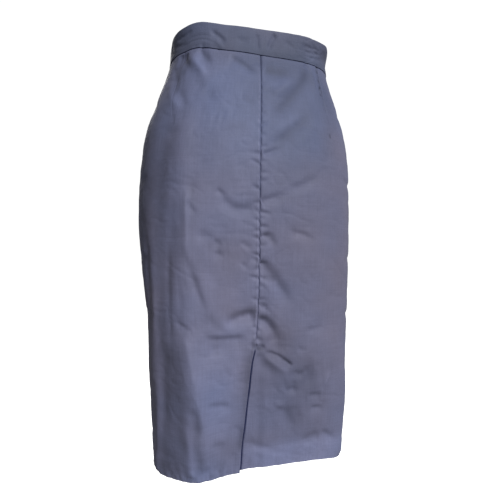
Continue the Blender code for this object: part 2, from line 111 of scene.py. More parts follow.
# ------------------------------------------------------------- creases
# Each crease walks a curve through a, m and b, each given as run and height.
# depth is in mm, outwards; left and right are its half widths in mm on the
# two sides of the walk from a to b; crisp 1 is a pressed line, 0 a soft
# roll; fade_a and fade_b are the shares of the walk over which it dies away.
CREASE_COLUMNS = ("run_a", "height_a", "run_m", "height_m", "run_b",
                  "height_b", "depth", "left", "right", "crisp",
                  "fade_a", "fade_b")
BACK_CREASES = (
    # drags under the waistband
    (-16.6, 61.6, -15.2, 61.5, -13.8, 61.6, -1.6, 4.0, 9.0, 0.10, 0.30, 0.30),
    (-15.4, 61.4, -13.9, 60.0, -12.4, 58.0, -1.3, 6.0, 6.0, 0.10, 0.25, 0.50),
    (-13.8, 61.4, -11.4, 59.4, -8.8, 56.6, 1.7, 6.5, 7.5, 0.00, 0.25, 0.45),
    (-12.0, 62.2, -10.9, 61.0, -9.1, 59.2, -1.6, 7.0, 6.0, 0.10, 0.20, 0.50),
    (-17.9, 60.8, -15.9, 58.6, -13.9, 56.2, -0.8, 6.0, 6.0, 0.00, 0.35, 0.35),
    (-14.8, 61.2, -15.4, 60.0, -16.1, 58.6, -0.5, 6.0, 6.0, 0.00, 0.35, 0.40),
    (-17.4, 58.0, -14.7, 54.8, -12.2, 52.0, 1.0, 7.0, 7.0, 0.10, 0.30, 0.40),
    (-14.1, 56.2, -12.8, 54.4, -11.9, 52.8, -0.9, 6.0, 6.0, 0.00, 0.30, 0.40),
    (-6.4, 61.2, -4.0, 60.4, -0.9, 58.6, -1.3, 6.0, 9.0, 0.00, 0.25, 0.30),
    (-9.9, 55.8, -8.4, 54.8, -6.8, 53.4, -1.0, 8.0, 8.0, 0.00, 0.30, 0.50),
    (0.1, 60.0, 2.3, 59.2, 5.2, 60.2, -1.2, 9.0, 11.0, 0.00, 0.30, 0.40),
    (1.4, 55.6, 3.6, 57.2, 6.6, 59.6, 1.1, 8.0, 8.0, 0.00, 0.30, 0.40),
    (11.2, 62.0, 5.6, 55.8, 0.8, 51.4, -1.4, 15.0, 13.0, 0.00, 0.20, 0.35),
    (8.3, 58.8, 5.0, 55.6, 2.0, 52.8, -0.3, 8.0, 8.0, 0.00, 0.40, 0.40),
    (8.4, 53.8, 4.6, 50.2, 0.1, 47.0, -1.1, 11.0, 10.0, 0.00, 0.30, 0.20),
    (12.2, 62.4, 12.4, 61.8, 12.5, 61.2, -1.2, 2.4, 2.4, 0.40, 0.30, 0.30),
    (12.2, 60.8, 12.2, 60.2, 12.1, 59.6, -1.0, 2.2, 2.4, 0.40, 0.30, 0.30),
    (11.8, 58.8, 11.8, 58.0, 11.5, 57.0, -1.5, 2.4, 2.4, 0.40, 0.30, 0.30),
    (10.4, 61.8, 10.5, 59.6, 10.1, 57.4, 0.9, 4.0, 4.0, 0.00, 0.30, 0.40),
    (8.9, 62.2, 10.0, 61.4, 10.5, 60.0, -1.0, 4.0, 4.0, 0.20, 0.20, 0.50),
    # seat
    (0.1, 46.6, 1.4, 47.0, 3.7, 48.0, -1.4, 3.5, 6.0, 0.20, 0.05, 0.60),
    (-6.4, 40.8, -3.7, 38.6, -0.6, 39.0, -1.6, 7.0, 11.0, 0.05, 0.25, 0.20),
    (-6.5, 41.2, -5.9, 40.8, -5.0, 40.0, -1.2, 3.5, 6.0, 0.30, 0.30, 0.40),
    (-0.1, 39.6, 1.5, 40.2, 3.9, 41.0, -1.9, 5.0, 8.0, 0.25, 0.05, 0.50),
    (3.6, 41.4, 6.2, 42.4, 9.2, 44.0, -0.9, 5.0, 8.0, 0.05, 0.35, 0.45),
    (3.9, 35.4, 6.1, 35.0, 8.6, 33.6, -1.4, 4.0, 8.0, 0.30, 0.30, 0.50),
    (-6.9, 34.0, -6.2, 33.6, -5.4, 32.8, -0.9, 4.0, 7.0, 0.10, 0.30, 0.40),
    (-6.9, 32.2, -6.0, 32.0, -5.0, 31.6, -0.9, 3.5, 6.0, 0.20, 0.30, 0.40),
    (-3.0, 33.2, -2.3, 33.4, -1.5, 32.6, -0.8, 3.5, 6.0, 0.20, 0.30, 0.30),
    (-2.8, 32.4, -2.1, 32.4, -1.5, 31.8, 0.3, 4.0, 5.0, 0.00, 0.30, 0.30),
    (-3.0, 30.2, -2.5, 30.4, -1.9, 29.8, -0.9, 3.5, 6.0, 0.20, 0.40, 0.40),
    (-1.6, 31.6, -1.1, 31.4, -0.4, 31.0, -1.2, 3.0, 5.0, 0.30, 0.30, 0.10),
    (-10.4, 39.8, -9.9, 38.6, -8.8, 37.2, -0.9, 3.5, 5.5, 0.15, 0.40, 0.40),
    (-9.6, 34.4, -7.9, 34.6, -6.5, 34.2, -0.9, 5.0, 8.0, 0.00, 0.40, 0.40),
    (0.4, 34.4, 1.3, 34.4, 2.0, 32.6, -1.4, 6.0, 6.0, 0.00, 0.10, 0.40),
    (-0.3, 30.6, 2.0, 28.4, 5.1, 23.4, -2.6, 9.0, 11.0, 0.05, 0.05, 0.35),
    (0.4, 27.2, 1.4, 27.0, 2.4, 24.6, 0.8, 7.0, 7.0, 0.00, 0.30, 0.50),
    # thighs
    (-0.3, 24.4, 0.4, 24.4, 1.4, 23.2, -1.5, 4.0, 5.0, 0.20, 0.05, 0.40),
    (-5.5, 21.4, -3.3, 22.6, -0.5, 23.2, -3.6, 8.0, 11.0, 0.20, 0.40, 0.18),
    (-5.0, 20.4, -3.0, 21.2, -0.6, 21.4, 0.3, 8.0, 12.0, 0.00, 0.35, 0.25),
    (-0.5, 22.2, 1.1, 21.6, 2.6, 18.8, -3.6, 7.0, 10.0, 0.20, 0.16, 0.40),
    (1.3, 20.4, 2.3, 18.8, 3.0, 16.2, -2.0, 12.0, 12.0, 0.00, 0.40, 0.40),
    (-0.1, 21.0, 0.8, 20.4, 1.3, 19.0, 0.9, 8.0, 8.0, 0.00, 0.30, 0.40),
    (-8.8, 20.0, -5.9, 19.6, -1.8, 19.8, -2.1, 5.0, 13.0, 0.20, 0.40, 0.20),
    (-8.3, 18.6, -6.1, 18.2, -3.6, 18.8, -1.6, 7.0, 13.0, 0.00, 0.35, 0.40),
    (-12.4, 22.6, -11.3, 21.8, -10.0, 20.8, -0.8, 3.0, 6.0, 0.25, 0.35, 0.40),
    (6.6, 20.4, 8.5, 20.6, 10.4, 20.6, -0.9, 4.0, 7.0, 0.20, 0.40, 0.40),
    # vent top
    (0.1, 17.8, 2.7, 16.8, 4.9, 15.2, -2.2, 1.9, 7.0, 0.85, 0.35, 0.08),
    (-0.6, 17.4, 0.6, 15.4, 2.4, 13.4, -1.3, 9.0, 9.0, 0.00, 0.20, 0.45),
    (0.6, 16.8, 2.6, 15.2, 4.7, 13.8, 1.2, 4.0, 5.0, 0.10, 0.20, 0.40),
    (-1.5, 19.2, -1.3, 18.6, -1.5, 18.0, -1.2, 4.0, 4.0, 0.20, 0.30, 0.30),
    # right lower back
    (5.6, 17.6, 6.4, 17.6, 7.4, 17.2, -0.9, 3.5, 7.0, 0.30, 0.30, 0.40),
    (5.0, 14.6, 5.9, 13.8, 7.0, 14.0, -1.4, 5.0, 7.0, 0.20, 0.30, 0.30),
    (6.5, 15.0, 7.5, 13.4, 7.0, 11.2, -2.0, 10.0, 8.0, 0.10, 0.30, 0.40),
    (3.6, 11.0, 4.7, 11.6, 6.0, 11.0, -1.3, 4.0, 7.0, 0.20, 0.30, 0.40),
    (3.5, 13.6, 3.7, 12.4, 3.4, 11.4, -0.8, 4.0, 4.0, 0.10, 0.40, 0.40),
    (5.0, 13.2, 5.2, 12.0, 5.0, 10.6, -0.9, 4.0, 4.0, 0.10, 0.40, 0.40),
    (7.3, 10.4, 8.8, 10.4, 9.9, 10.4, -1.5, 3.5, 7.0, 0.40, 0.30, 0.40),
    (7.8, 8.4, 9.1, 8.4, 10.5, 8.2, -1.5, 3.5, 7.0, 0.40, 0.30, 0.40),
    (3.0, 9.4, 4.4, 7.2, 6.1, 4.4, -2.2, 10.0, 12.0, 0.05, 0.30, 0.35),
    (5.1, 9.4, 5.9, 7.6, 6.5, 5.8, -1.2, 7.0, 7.0, 0.00, 0.30, 0.40),
    (1.8, 9.6, 2.9, 9.4, 4.0, 8.4, 1.0, 5.0, 5.0, 0.10, 0.30, 0.40),
    (10.1, 11.2, 10.6, 12.6, 11.4, 14.0, 1.4, 5.0, 4.0, 0.20, 0.40, 0.40),
    (6.5, 3.2, 8.3, 3.8, 10.2, 4.2, -1.4, 6.0, 8.0, 0.05, 0.35, 0.30),
    (9.9, 4.4, 11.2, 4.0, 13.6, 2.6, -1.5, 6.0, 8.0, 0.05, 0.30, 0.35),
    (-2.6, 4.4, 0.3, 3.2, 4.5, 1.6, -1.0, 6.0, 7.0, 0.00, 0.35, 0.40),
    # left lower back
    (-8.3, 10.0, -6.4, 10.2, -3.9, 9.6, -1.3, 5.0, 9.0, 0.10, 0.35, 0.35),
    (-7.6, 4.4, -6.4, 4.6, -5.1, 3.8, -1.0, 6.0, 9.0, 0.00, 0.35, 0.35),
    (-5.4, 2.4, -4.4, 2.6, -3.3, 2.6, -1.1, 4.0, 6.0, 0.30, 0.40, 0.40),
    (-4.5, 7.2, -3.7, 6.6, -2.8, 6.6, -0.8, 4.0, 6.0, 0.20, 0.40, 0.40),
    # upright folds
    (-12.6, 44.4, -13.0, 34.0, -14.0, 22.6, -1.5, 16.0, 22.0, 0.00, 0.40,
     0.30),
    (-14.8, 19.4, -13.1, 13.0, -11.4, 3.2, -1.5, 14.0, 20.0, 0.00, 0.30, 0.10),
    (-10.6, 42.0, -10.4, 34.0, -10.4, 23.8, 2.7, 12.0, 20.0, 0.95, 0.20, 0.50),
    (-10.5, 33.2, -10.5, 29.4, -10.6, 25.6, -0.9, 3.5, 4.0, 0.20, 0.30, 0.30),
    (-12.9, 34.6, -13.1, 27.6, -13.4, 19.0, -0.5, 5.0, 6.0, 0.10, 0.40, 0.30),
    (-12.2, 34.0, -12.2, 27.6, -12.4, 21.8, 0.3, 6.0, 6.0, 0.00, 0.40, 0.40),
    (-11.4, 30.8, -11.5, 26.6, -11.5, 22.0, -0.4, 5.0, 5.0, 0.00, 0.40, 0.40),
    (-10.4, 32.4, -9.5, 27.8, -7.6, 23.0, -1.3, 6.0, 6.0, 0.10, 0.30, 0.40),
    (-9.1, 30.8, -8.4, 26.8, -7.0, 22.6, 0.8, 9.0, 6.0, 0.10, 0.30, 0.40),
    (-11.5, 21.2, -9.6, 12.8, -8.4, 1.2, 3.2, 12.0, 18.0, 0.70, 0.20, 0.10),
    (-10.6, 11.0, -9.8, 8.6, -9.2, 5.6, -1.3, 8.0, 8.0, 0.00, 0.35, 0.35),
    (-11.8, 8.8, -10.9, 5.4, -10.5, 0.8, 0.8, 7.0, 7.0, 0.00, 0.30, 0.02),
    (-14.3, 19.0, -14.5, 12.2, -14.6, 5.2, -0.4, 8.0, 8.0, 0.00, 0.35, 0.35),
)
# similar ones, guessed, where the photo doesn't show the skirt
SIDE_CREASES = (
    (14.0, 57.0, 17.5, 54.6, 20.6, 53.6, -1.1, 7.0, 9.0, 0.0, 0.3, 0.5),
    (13.0, 44.6, 16.5, 43.4, 20.5, 44.2, -1.0, 4.0, 8.0, 0.2, 0.3, 0.4),
    (15.2, 32.4, 18.6, 31.0, 22.4, 31.6, -1.2, 5.0, 9.0, 0.2, 0.3, 0.4),
    (14.6, 23.6, 17.0, 22.2, 20.4, 22.0, -1.1, 4.0, 8.0, 0.2, 0.3, 0.4),
    (14.2, 18.0, 14.8, 10.0, 14.6, 0.0, 1.8, 8.0, 10.0, 0.1, 0.4, 0.05),
    (18.6, 15.0, 19.4, 8.0, 19.2, 0.0, -1.8, 10.0, 12.0, 0.0, 0.4, 0.05),
    (16.4, 9.4, 18.2, 8.6, 20.2, 8.9, -0.9, 4.0, 7.0, 0.3, 0.3, 0.4),
    (-23.8, 58.4, -21.0, 55.0, -17.0, 53.4, -1.2, 7.0, 10.0, 0.0, 0.3, 0.5),
    (-23.6, 45.0, -20.2, 43.0, -16.6, 43.6, -1.2, 5.0, 9.0, 0.2, 0.2, 0.4),
    (-23.0, 33.2, -19.8, 31.4, -16.0, 31.8, -1.3, 5.0, 9.0, 0.2, 0.3, 0.4),
    (-22.6, 24.4, -19.4, 23.0, -15.6, 24.0, -1.5, 5.0, 10.0, 0.2, 0.3, 0.4),
    (-17.6, 38.0, -17.2, 28.0, -17.6, 17.0, -1.6, 8.0, 9.0, 0.1, 0.4, 0.4),
    (-16.2, 16.0, -16.0, 8.0, -16.4, 0.0, 1.8, 8.0, 9.0, 0.1, 0.4, 0.05),
    (-19.4, 14.0, -19.8, 7.0, -19.6, 0.0, -2.0, 9.0, 11.0, 0.0, 0.4, 0.05),
    (-21.4, 10.2, -19.6, 9.6, -17.2, 10.0, -0.9, 4.0, 7.0, 0.3, 0.3, 0.4),
)
FRONT_CREASES = (
    # drags from the band and the darts
    (31.6, 61.8, 33.4, 59.4, 36.2, 57.4, -1.4, 9.0, 6.0, 0.0, 0.2, 0.6),
    (44.0, 62.0, 46.2, 60.6, 49.4, 59.6, -0.9, 8.0, 5.0, 0.0, 0.3, 0.5),
    (58.0, 61.6, 55.6, 59.8, 52.4, 58.8, -1.0, 5.0, 8.0, 0.0, 0.3, 0.5),
    (69.4, 61.8, 66.8, 58.6, 63.8, 56.6, -1.5, 6.0, 10.0, 0.0, 0.2, 0.6),
    (40.0, 53.2, 43.8, 50.8, 49.0, 50.2, -1.2, 12.0, 9.0, 0.0, 0.4, 0.4),
    # across the hips
    (29.0, 45.6, 33.2, 43.8, 38.4, 44.2, -1.8, 10.0, 5.0, 0.2, 0.2, 0.4),
    (42.4, 44.2, 48.0, 42.4, 54.4, 43.2, -1.3, 10.0, 5.0, 0.2, 0.4, 0.4),
    (60.4, 44.6, 66.0, 43.4, 71.0, 45.2, -1.7, 10.0, 5.0, 0.2, 0.4, 0.2),
    (36.2, 38.0, 40.6, 36.6, 45.8, 37.4, -1.2, 8.0, 4.0, 0.3, 0.3, 0.5),
    (53.0, 35.6, 57.8, 34.4, 63.4, 36.0, -1.5, 9.0, 5.0, 0.3, 0.3, 0.4),
    # over the thighs
    (31.4, 29.8, 35.8, 27.6, 42.4, 27.2, -1.9, 11.0, 5.0, 0.2, 0.25, 0.5),
    (45.4, 26.2, 49.6, 25.2, 54.8, 26.4, -1.2, 8.0, 4.0, 0.2, 0.4, 0.4),
    (57.0, 28.4, 62.6, 26.8, 68.6, 28.2, -1.8, 11.0, 5.0, 0.2, 0.4, 0.25),
    (36.6, 20.8, 40.8, 19.8, 45.2, 20.6, -1.4, 9.0, 4.0, 0.3, 0.3, 0.4),
    (54.2, 18.6, 58.8, 17.6, 63.4, 18.8, -1.4, 9.0, 4.0, 0.3, 0.3, 0.4),
    (43.0, 12.6, 46.0, 12.0, 49.2, 12.4, -0.9, 7.0, 4.0, 0.2, 0.4, 0.4),
    (50.6, 8.6, 53.4, 8.0, 56.4, 8.5, -0.9, 7.0, 4.0, 0.3, 0.4, 0.4),
    (38.0, 8.0, 40.2, 7.2, 42.8, 7.4, -0.9, 6.0, 4.0, 0.3, 0.4, 0.4),
    # upright rolls at the corners and over the knees
    (33.0, 40.0, 33.6, 28.0, 33.4, 14.0, 1.6, 12.0, 10.0, 0.1, 0.4, 0.4),
    (36.8, 34.0, 36.6, 22.0, 37.4, 8.0, -1.8, 10.0, 11.0, 0.0, 0.4, 0.4),
    (35.8, 17.0, 35.4, 8.0, 35.2, -0.2, 2.2, 8.0, 10.0, 0.2, 0.4, 0.05),
    (66.4, 42.0, 66.8, 30.0, 66.4, 15.0, 1.6, 10.0, 12.0, 0.1, 0.4, 0.4),
    (63.0, 32.0, 62.6, 20.0, 63.2, 7.0, -1.7, 10.0, 10.0, 0.0, 0.4, 0.4),
    (65.0, 15.0, 65.4, 7.0, 65.2, -0.2, 2.2, 10.0, 8.0, 0.2, 0.4, 0.05),
    (44.6, 16.0, 45.4, 8.0, 45.2, -0.2, 1.3, 14.0, 12.0, 0.0, 0.4, 0.05),
    (56.2, 14.0, 55.6, 7.0, 55.8, -0.2, 1.2, 12.0, 14.0, 0.0, 0.4, 0.05),
    (28.2, 20.0, 28.8, 10.0, 28.4, 0.0, -1.4, 10.0, 10.0, 0.0, 0.4, 0.1),
    (71.6, 18.0, 71.2, 9.0, 71.6, 0.0, -1.4, 10.0, 10.0, 0.0, 0.4, 0.1),
)
BAND_CREASES = (
    (-18.1, 64.8, -15.0, 64.8, -13.4, 65.2, -0.9, 2.4, 5.0, 0.50, 0.25, 0.30),
    (-24.6, 65.8, -16.6, 63.6, -13.8, 63.4, -0.5, 3.0, 5.0, 0.30, 0.30, 0.40),
    (-26.2, 65.2, -20.6, 63.6, -16.5, 62.8, -0.5, 3.0, 4.0, 0.30, 0.30, 0.40),
    (-10.1, 64.8, -8.3, 64.2, -6.9, 63.2, -1.3, 3.5, 7.0, 0.20, 0.25, 0.30),
    (-9.4, 63.6, -8.1, 63.0, -7.5, 62.2, 0.7, 4.0, 5.0, 0.10, 0.30, 0.40),
    (-1.1, 65.4, -0.9, 64.0, -0.6, 62.8, -1.0, 4.0, 4.0, 0.10, 0.25, 0.30),
    (2.5, 65.6, 1.8, 64.4, 1.0, 63.0, -1.4, 5.0, 3.5, 0.20, 0.20, 0.30),
    (7.8, 64.6, 9.9, 64.6, 12.4, 65.0, -1.1, 2.5, 4.0, 0.40, 0.30, 0.30),
    (8.4, 63.8, 10.6, 64.0, 13.5, 64.4, -1.1, 2.5, 4.0, 0.40, 0.30, 0.30),
    (9.6, 63.2, 11.5, 63.4, 14.1, 63.6, -0.8, 2.4, 3.5, 0.30, 0.30, 0.30),
    (10.1, 65.4, 11.2, 64.8, 12.0, 63.8, -0.9, 3.0, 3.0, 0.30, 0.30, 0.30),
    (4.2, 64.8, 5.6, 64.4, 6.9, 64.2, -0.6, 3.0, 5.0, 0.20, 0.30, 0.40),
    (-5.2, 64.2, -3.9, 64.0, -2.4, 64.0, -0.5, 4.0, 6.0, 0.10, 0.30, 0.40),
    (-15.6, 63.2, -11.8, 63.5, -8.0, 63.0, -0.5, 1.8, 2.4, 0.2, 0.3, 0.4),
    (-15.0, 63.8, -11.6, 64.1, -8.6, 63.7, -0.4, 1.8, 2.4, 0.2, 0.3, 0.4),
    (6.4, 62.9, 10.5, 62.9, 15.0, 63.2, -0.4, 1.6, 2.4, 0.2, 0.3, 0.4),
    (8.0, 63.4, 11.5, 63.4, 15.6, 63.8, -0.5, 1.8, 2.6, 0.2, 0.3, 0.4),
    (19.8, 65.0, 21.6, 64.2, 22.6, 63.0, -0.8, 5.0, 5.0, 0.1, 0.3, 0.3),
    (-21.6, 65.2, -20.4, 64.2, -19.8, 63.0, -0.8, 5.0, 5.0, 0.1, 0.3, 0.3),
    (31.2, 65.6, 32.4, 64.2, 33.0, 62.8, -0.9, 5.0, 6.0, 0.1, 0.2, 0.3),
    (38.0, 64.8, 40.2, 64.2, 42.6, 64.4, -0.6, 3.0, 5.0, 0.2, 0.3, 0.4),
    (47.4, 65.6, 48.0, 64.3, 47.6, 62.8, -0.7, 6.0, 6.0, 0.1, 0.3, 0.3),
    (55.2, 64.2, 57.6, 63.8, 60.0, 64.2, -0.6, 3.0, 5.0, 0.2, 0.3, 0.4),
    (66.0, 65.4, 67.4, 64.4, 69.6, 64.0, -0.9, 4.0, 6.0, 0.2, 0.2, 0.4),
    (27.4, 63.0, 31.0, 63.2, 35.4, 63.0, -0.4, 1.8, 2.4, 0.2, 0.3, 0.4),
    (62.0, 63.0, 66.4, 63.2, 71.0, 63.0, -0.4, 1.8, 2.4, 0.2, 0.3, 0.4),
)

CREASE_GAIN = 1.7
PUCKER_GAIN = 1.45

# Puckers along a seam: height in cm, side of the seam (+1 towards higher
# places), length and rise of its far end in cm, depth and width in mm.
PUCKER_COLUMNS = ("height", "side", "length", "rise", "depth", "width")
CENTRE_PUCKERS = (
    (57.6, 1, 0.9, 0.1, -0.6, 2.6), (56.2, 1, 1.1, 0.2, -0.7, 2.6),
    (54.0, 1, 0.9, -0.1, -0.6, 2.4), (52.6, 1, 1.0, 0.2, -0.8, 2.4),
    (51.0, 1, 1.2, 0.3, -0.9, 2.4), (49.4, 1, 0.9, 0.0, -0.8, 2.4),
    (47.6, 1, 1.2, 0.2, -1.0, 2.4), (54.6, -1, 0.8, 0.1, -0.4, 2.6),
    (51.6, -1, 0.8, 0.1, -0.4, 2.6), (48.3, -1, 0.8, 0.1, -0.7, 2.4),
    (49.9, -1, 0.9, 0.3, -0.6, 2.6), (46.6, -1, 1.4, 0.1, -1.2, 2.6),
    (45.4, 1, 1.1, 0.3, -0.9, 2.4), (45.0, -1, 1.6, 0.7, -1.5, 2.6),
    (43.8, 1, 1.2, 0.1, -1.0, 2.4), (43.6, -1, 0.8, -0.2, -0.7, 2.2),
    (42.6, 1, 1.1, 0.2, -1.2, 2.6), (41.4, -1, 1.4, 0.5, -1.3, 2.8),
    (39.6, -1, 1.2, -0.2, -1.3, 2.6), (38.2, 1, 1.7, -0.3, -1.7, 2.8),
    (38.0, -1, 0.9, 0.3, -0.9, 2.2), (37.2, 1, 1.0, 0.2, -0.8, 2.2),
    (36.8, -1, 1.2, 0.4, -1.3, 2.6), (36.0, 1, 1.3, 0.1, -1.9, 2.6),
    (35.6, -1, 1.1, -0.3, -1.2, 2.4), (34.6, 1, 1.7, 0.3, -2.0, 2.8),
    (34.2, -1, 1.3, 0.4, -1.4, 2.6), (33.3, 1, 0.9, 0.1, -1.0, 2.2),
    (33.2, -1, 0.8, -0.2, -0.8, 2.2), (31.8, -1, 1.5, 0.4, -1.8, 2.6),
    (30.8, 1, 1.4, -0.2, -1.6, 2.8), (30.1, -1, 1.0, -0.4, -1.2, 2.4),
    (28.7, 1, 1.2, -0.4, -1.3, 2.6), (28.5, -1, 1.8, 0.3, -1.9, 2.8),
    (27.3, 1, 0.9, 0.1, -0.9, 2.2), (27.0, -1, 1.0, -0.2, -1.0, 2.4),
    (25.3, 1, 1.3, 0.2, -1.5, 2.6), (25.2, -1, 1.3, 0.4, -1.3, 2.6),
    (24.0, 1, 0.9, 0.3, -1.0, 2.4), (21.7, 1, 0.8, -0.2, -0.8, 2.2),
    (21.1, -1, 1.0, 0.3, -1.1, 2.4), (20.8, 1, 1.0, -0.3, -1.1, 2.4),
    (20.3, -1, 0.9, -0.3, -1.0, 2.2), (19.6, 1, 1.1, -0.4, -1.2, 2.4),
)
RIGHT_PUCKERS = (
    (57.4, -1, 1.0, 0.2, -0.4, 3.0), (54.8, 1, 1.2, -0.2, -0.5, 3.0),
    (52.2, -1, 1.1, 0.3, -0.5, 3.0), (49.6, 1, 1.3, 0.2, -0.6, 3.0),
    (47.4, -1, 1.4, -0.3, -0.6, 3.0), (44.6, 1, 1.5, -0.6, -0.9, 3.2),
    (43.6, -1, 1.4, -0.5, -0.8, 3.0), (39.0, 1, 1.0, 0.2, -0.5, 2.8),
    (36.4, -1, 1.2, 0.3, -0.6, 2.8), (33.0, 1, 1.3, -0.2, -0.6, 3.0),
    (29.4, -1, 1.1, 0.3, -0.6, 2.8), (26.2, 1, 1.2, -0.3, -0.6, 3.0),
    (22.0, -1, 1.0, 0.2, -0.5, 2.8), (18.4, 1, 1.2, 0.3, -0.6, 3.0),
    (14.0, -1, 1.1, -0.2, -0.5, 2.8), (10.2, 1, 1.0, 0.3, -0.5, 2.8),
    (6.4, -1, 1.1, 0.2, -0.5, 2.8),
)
LEFT_PUCKERS = (
    (58.2, 1, 1.1, 0.2, -0.5, 3.0), (55.4, -1, 1.2, -0.2, -0.5, 3.0),
    (51.6, 1, 1.3, 0.4, -0.6, 3.0), (48.0, -1, 1.2, 0.2, -0.5, 3.0),
    (45.2, 1, 1.4, -0.4, -0.7, 3.0), (41.8, -1, 1.3, -0.3, -0.6, 3.0),
    (38.2, 1, 1.1, 0.3, -0.5, 2.8), (34.6, -1, 1.4, -0.4, -0.7, 3.0),
    (30.8, 1, 1.2, -0.2, -0.6, 2.8), (27.0, -1, 1.1, 0.2, -0.5, 3.0),
    (23.6, 1, 1.3, 0.4, -0.6, 3.0), (19.0, -1, 1.2, -0.3, -0.6, 2.8),
    (15.2, 1, 1.0, 0.2, -0.5, 2.8), (11.0, -1, 1.1, 0.3, -0.5, 2.8),
    (7.0, 1, 1.0, -0.2, -0.5, 2.8),
)
SEAM_PUCKERS = ((0.0, CENTRE_PUCKERS), (1.0, RIGHT_PUCKERS),
                (3.0, LEFT_PUCKERS))

# Darts: the line's place at three heights, the height of its point in cm.
DART_COLUMNS = ("place_top", "place_middle", "place_point", "point")
BACK_RIGHT_DART = (0.510, 0.482, 0.470, 51.6)
BACK_LEFT_DART = (-0.605, -0.590, -0.532, 49.8)
FRONT_DARTS = ((1.520, 1.505, 1.500, 53.4), (2.480, 2.495, 2.500, 53.4))

# Small bumps: run, height, out in mm, radius in mm.
DIMPLES = (
    (0.35, 18.2, -1.5, 3.0), (-0.2, 18.8, 1.0, 2.6), (-1.0, 18.4, -0.3, 3.0),
    (11.75, 50.6, -1.2, 8.0), (11.9, 49.6, 0.5, 5.0),
    (11.4, 50.2, -0.6, 2.4), (-0.55, 18.8, 2.8, 2.3), (0.2, 18.2, -2.4, 3.0),
    (-13.3, 49.2, -1.2, 8.0), (-13.2, 51.4, -0.5, 4.0),
    (12.0, 53.4, -0.35, 2.0), (12.0, 55.4, -0.35, 2.0),
    (12.3, 57.4, -0.35, 2.2), (12.6, 59.4, -0.3, 2.2),
    (-12.1, 34.8, -0.7, 8.0), (5.6, 5.4, 0.9, 7.0),
    (37.5, 53.0, -1.0, 8.0), (62.5, 53.0, -1.0, 8.0),
)
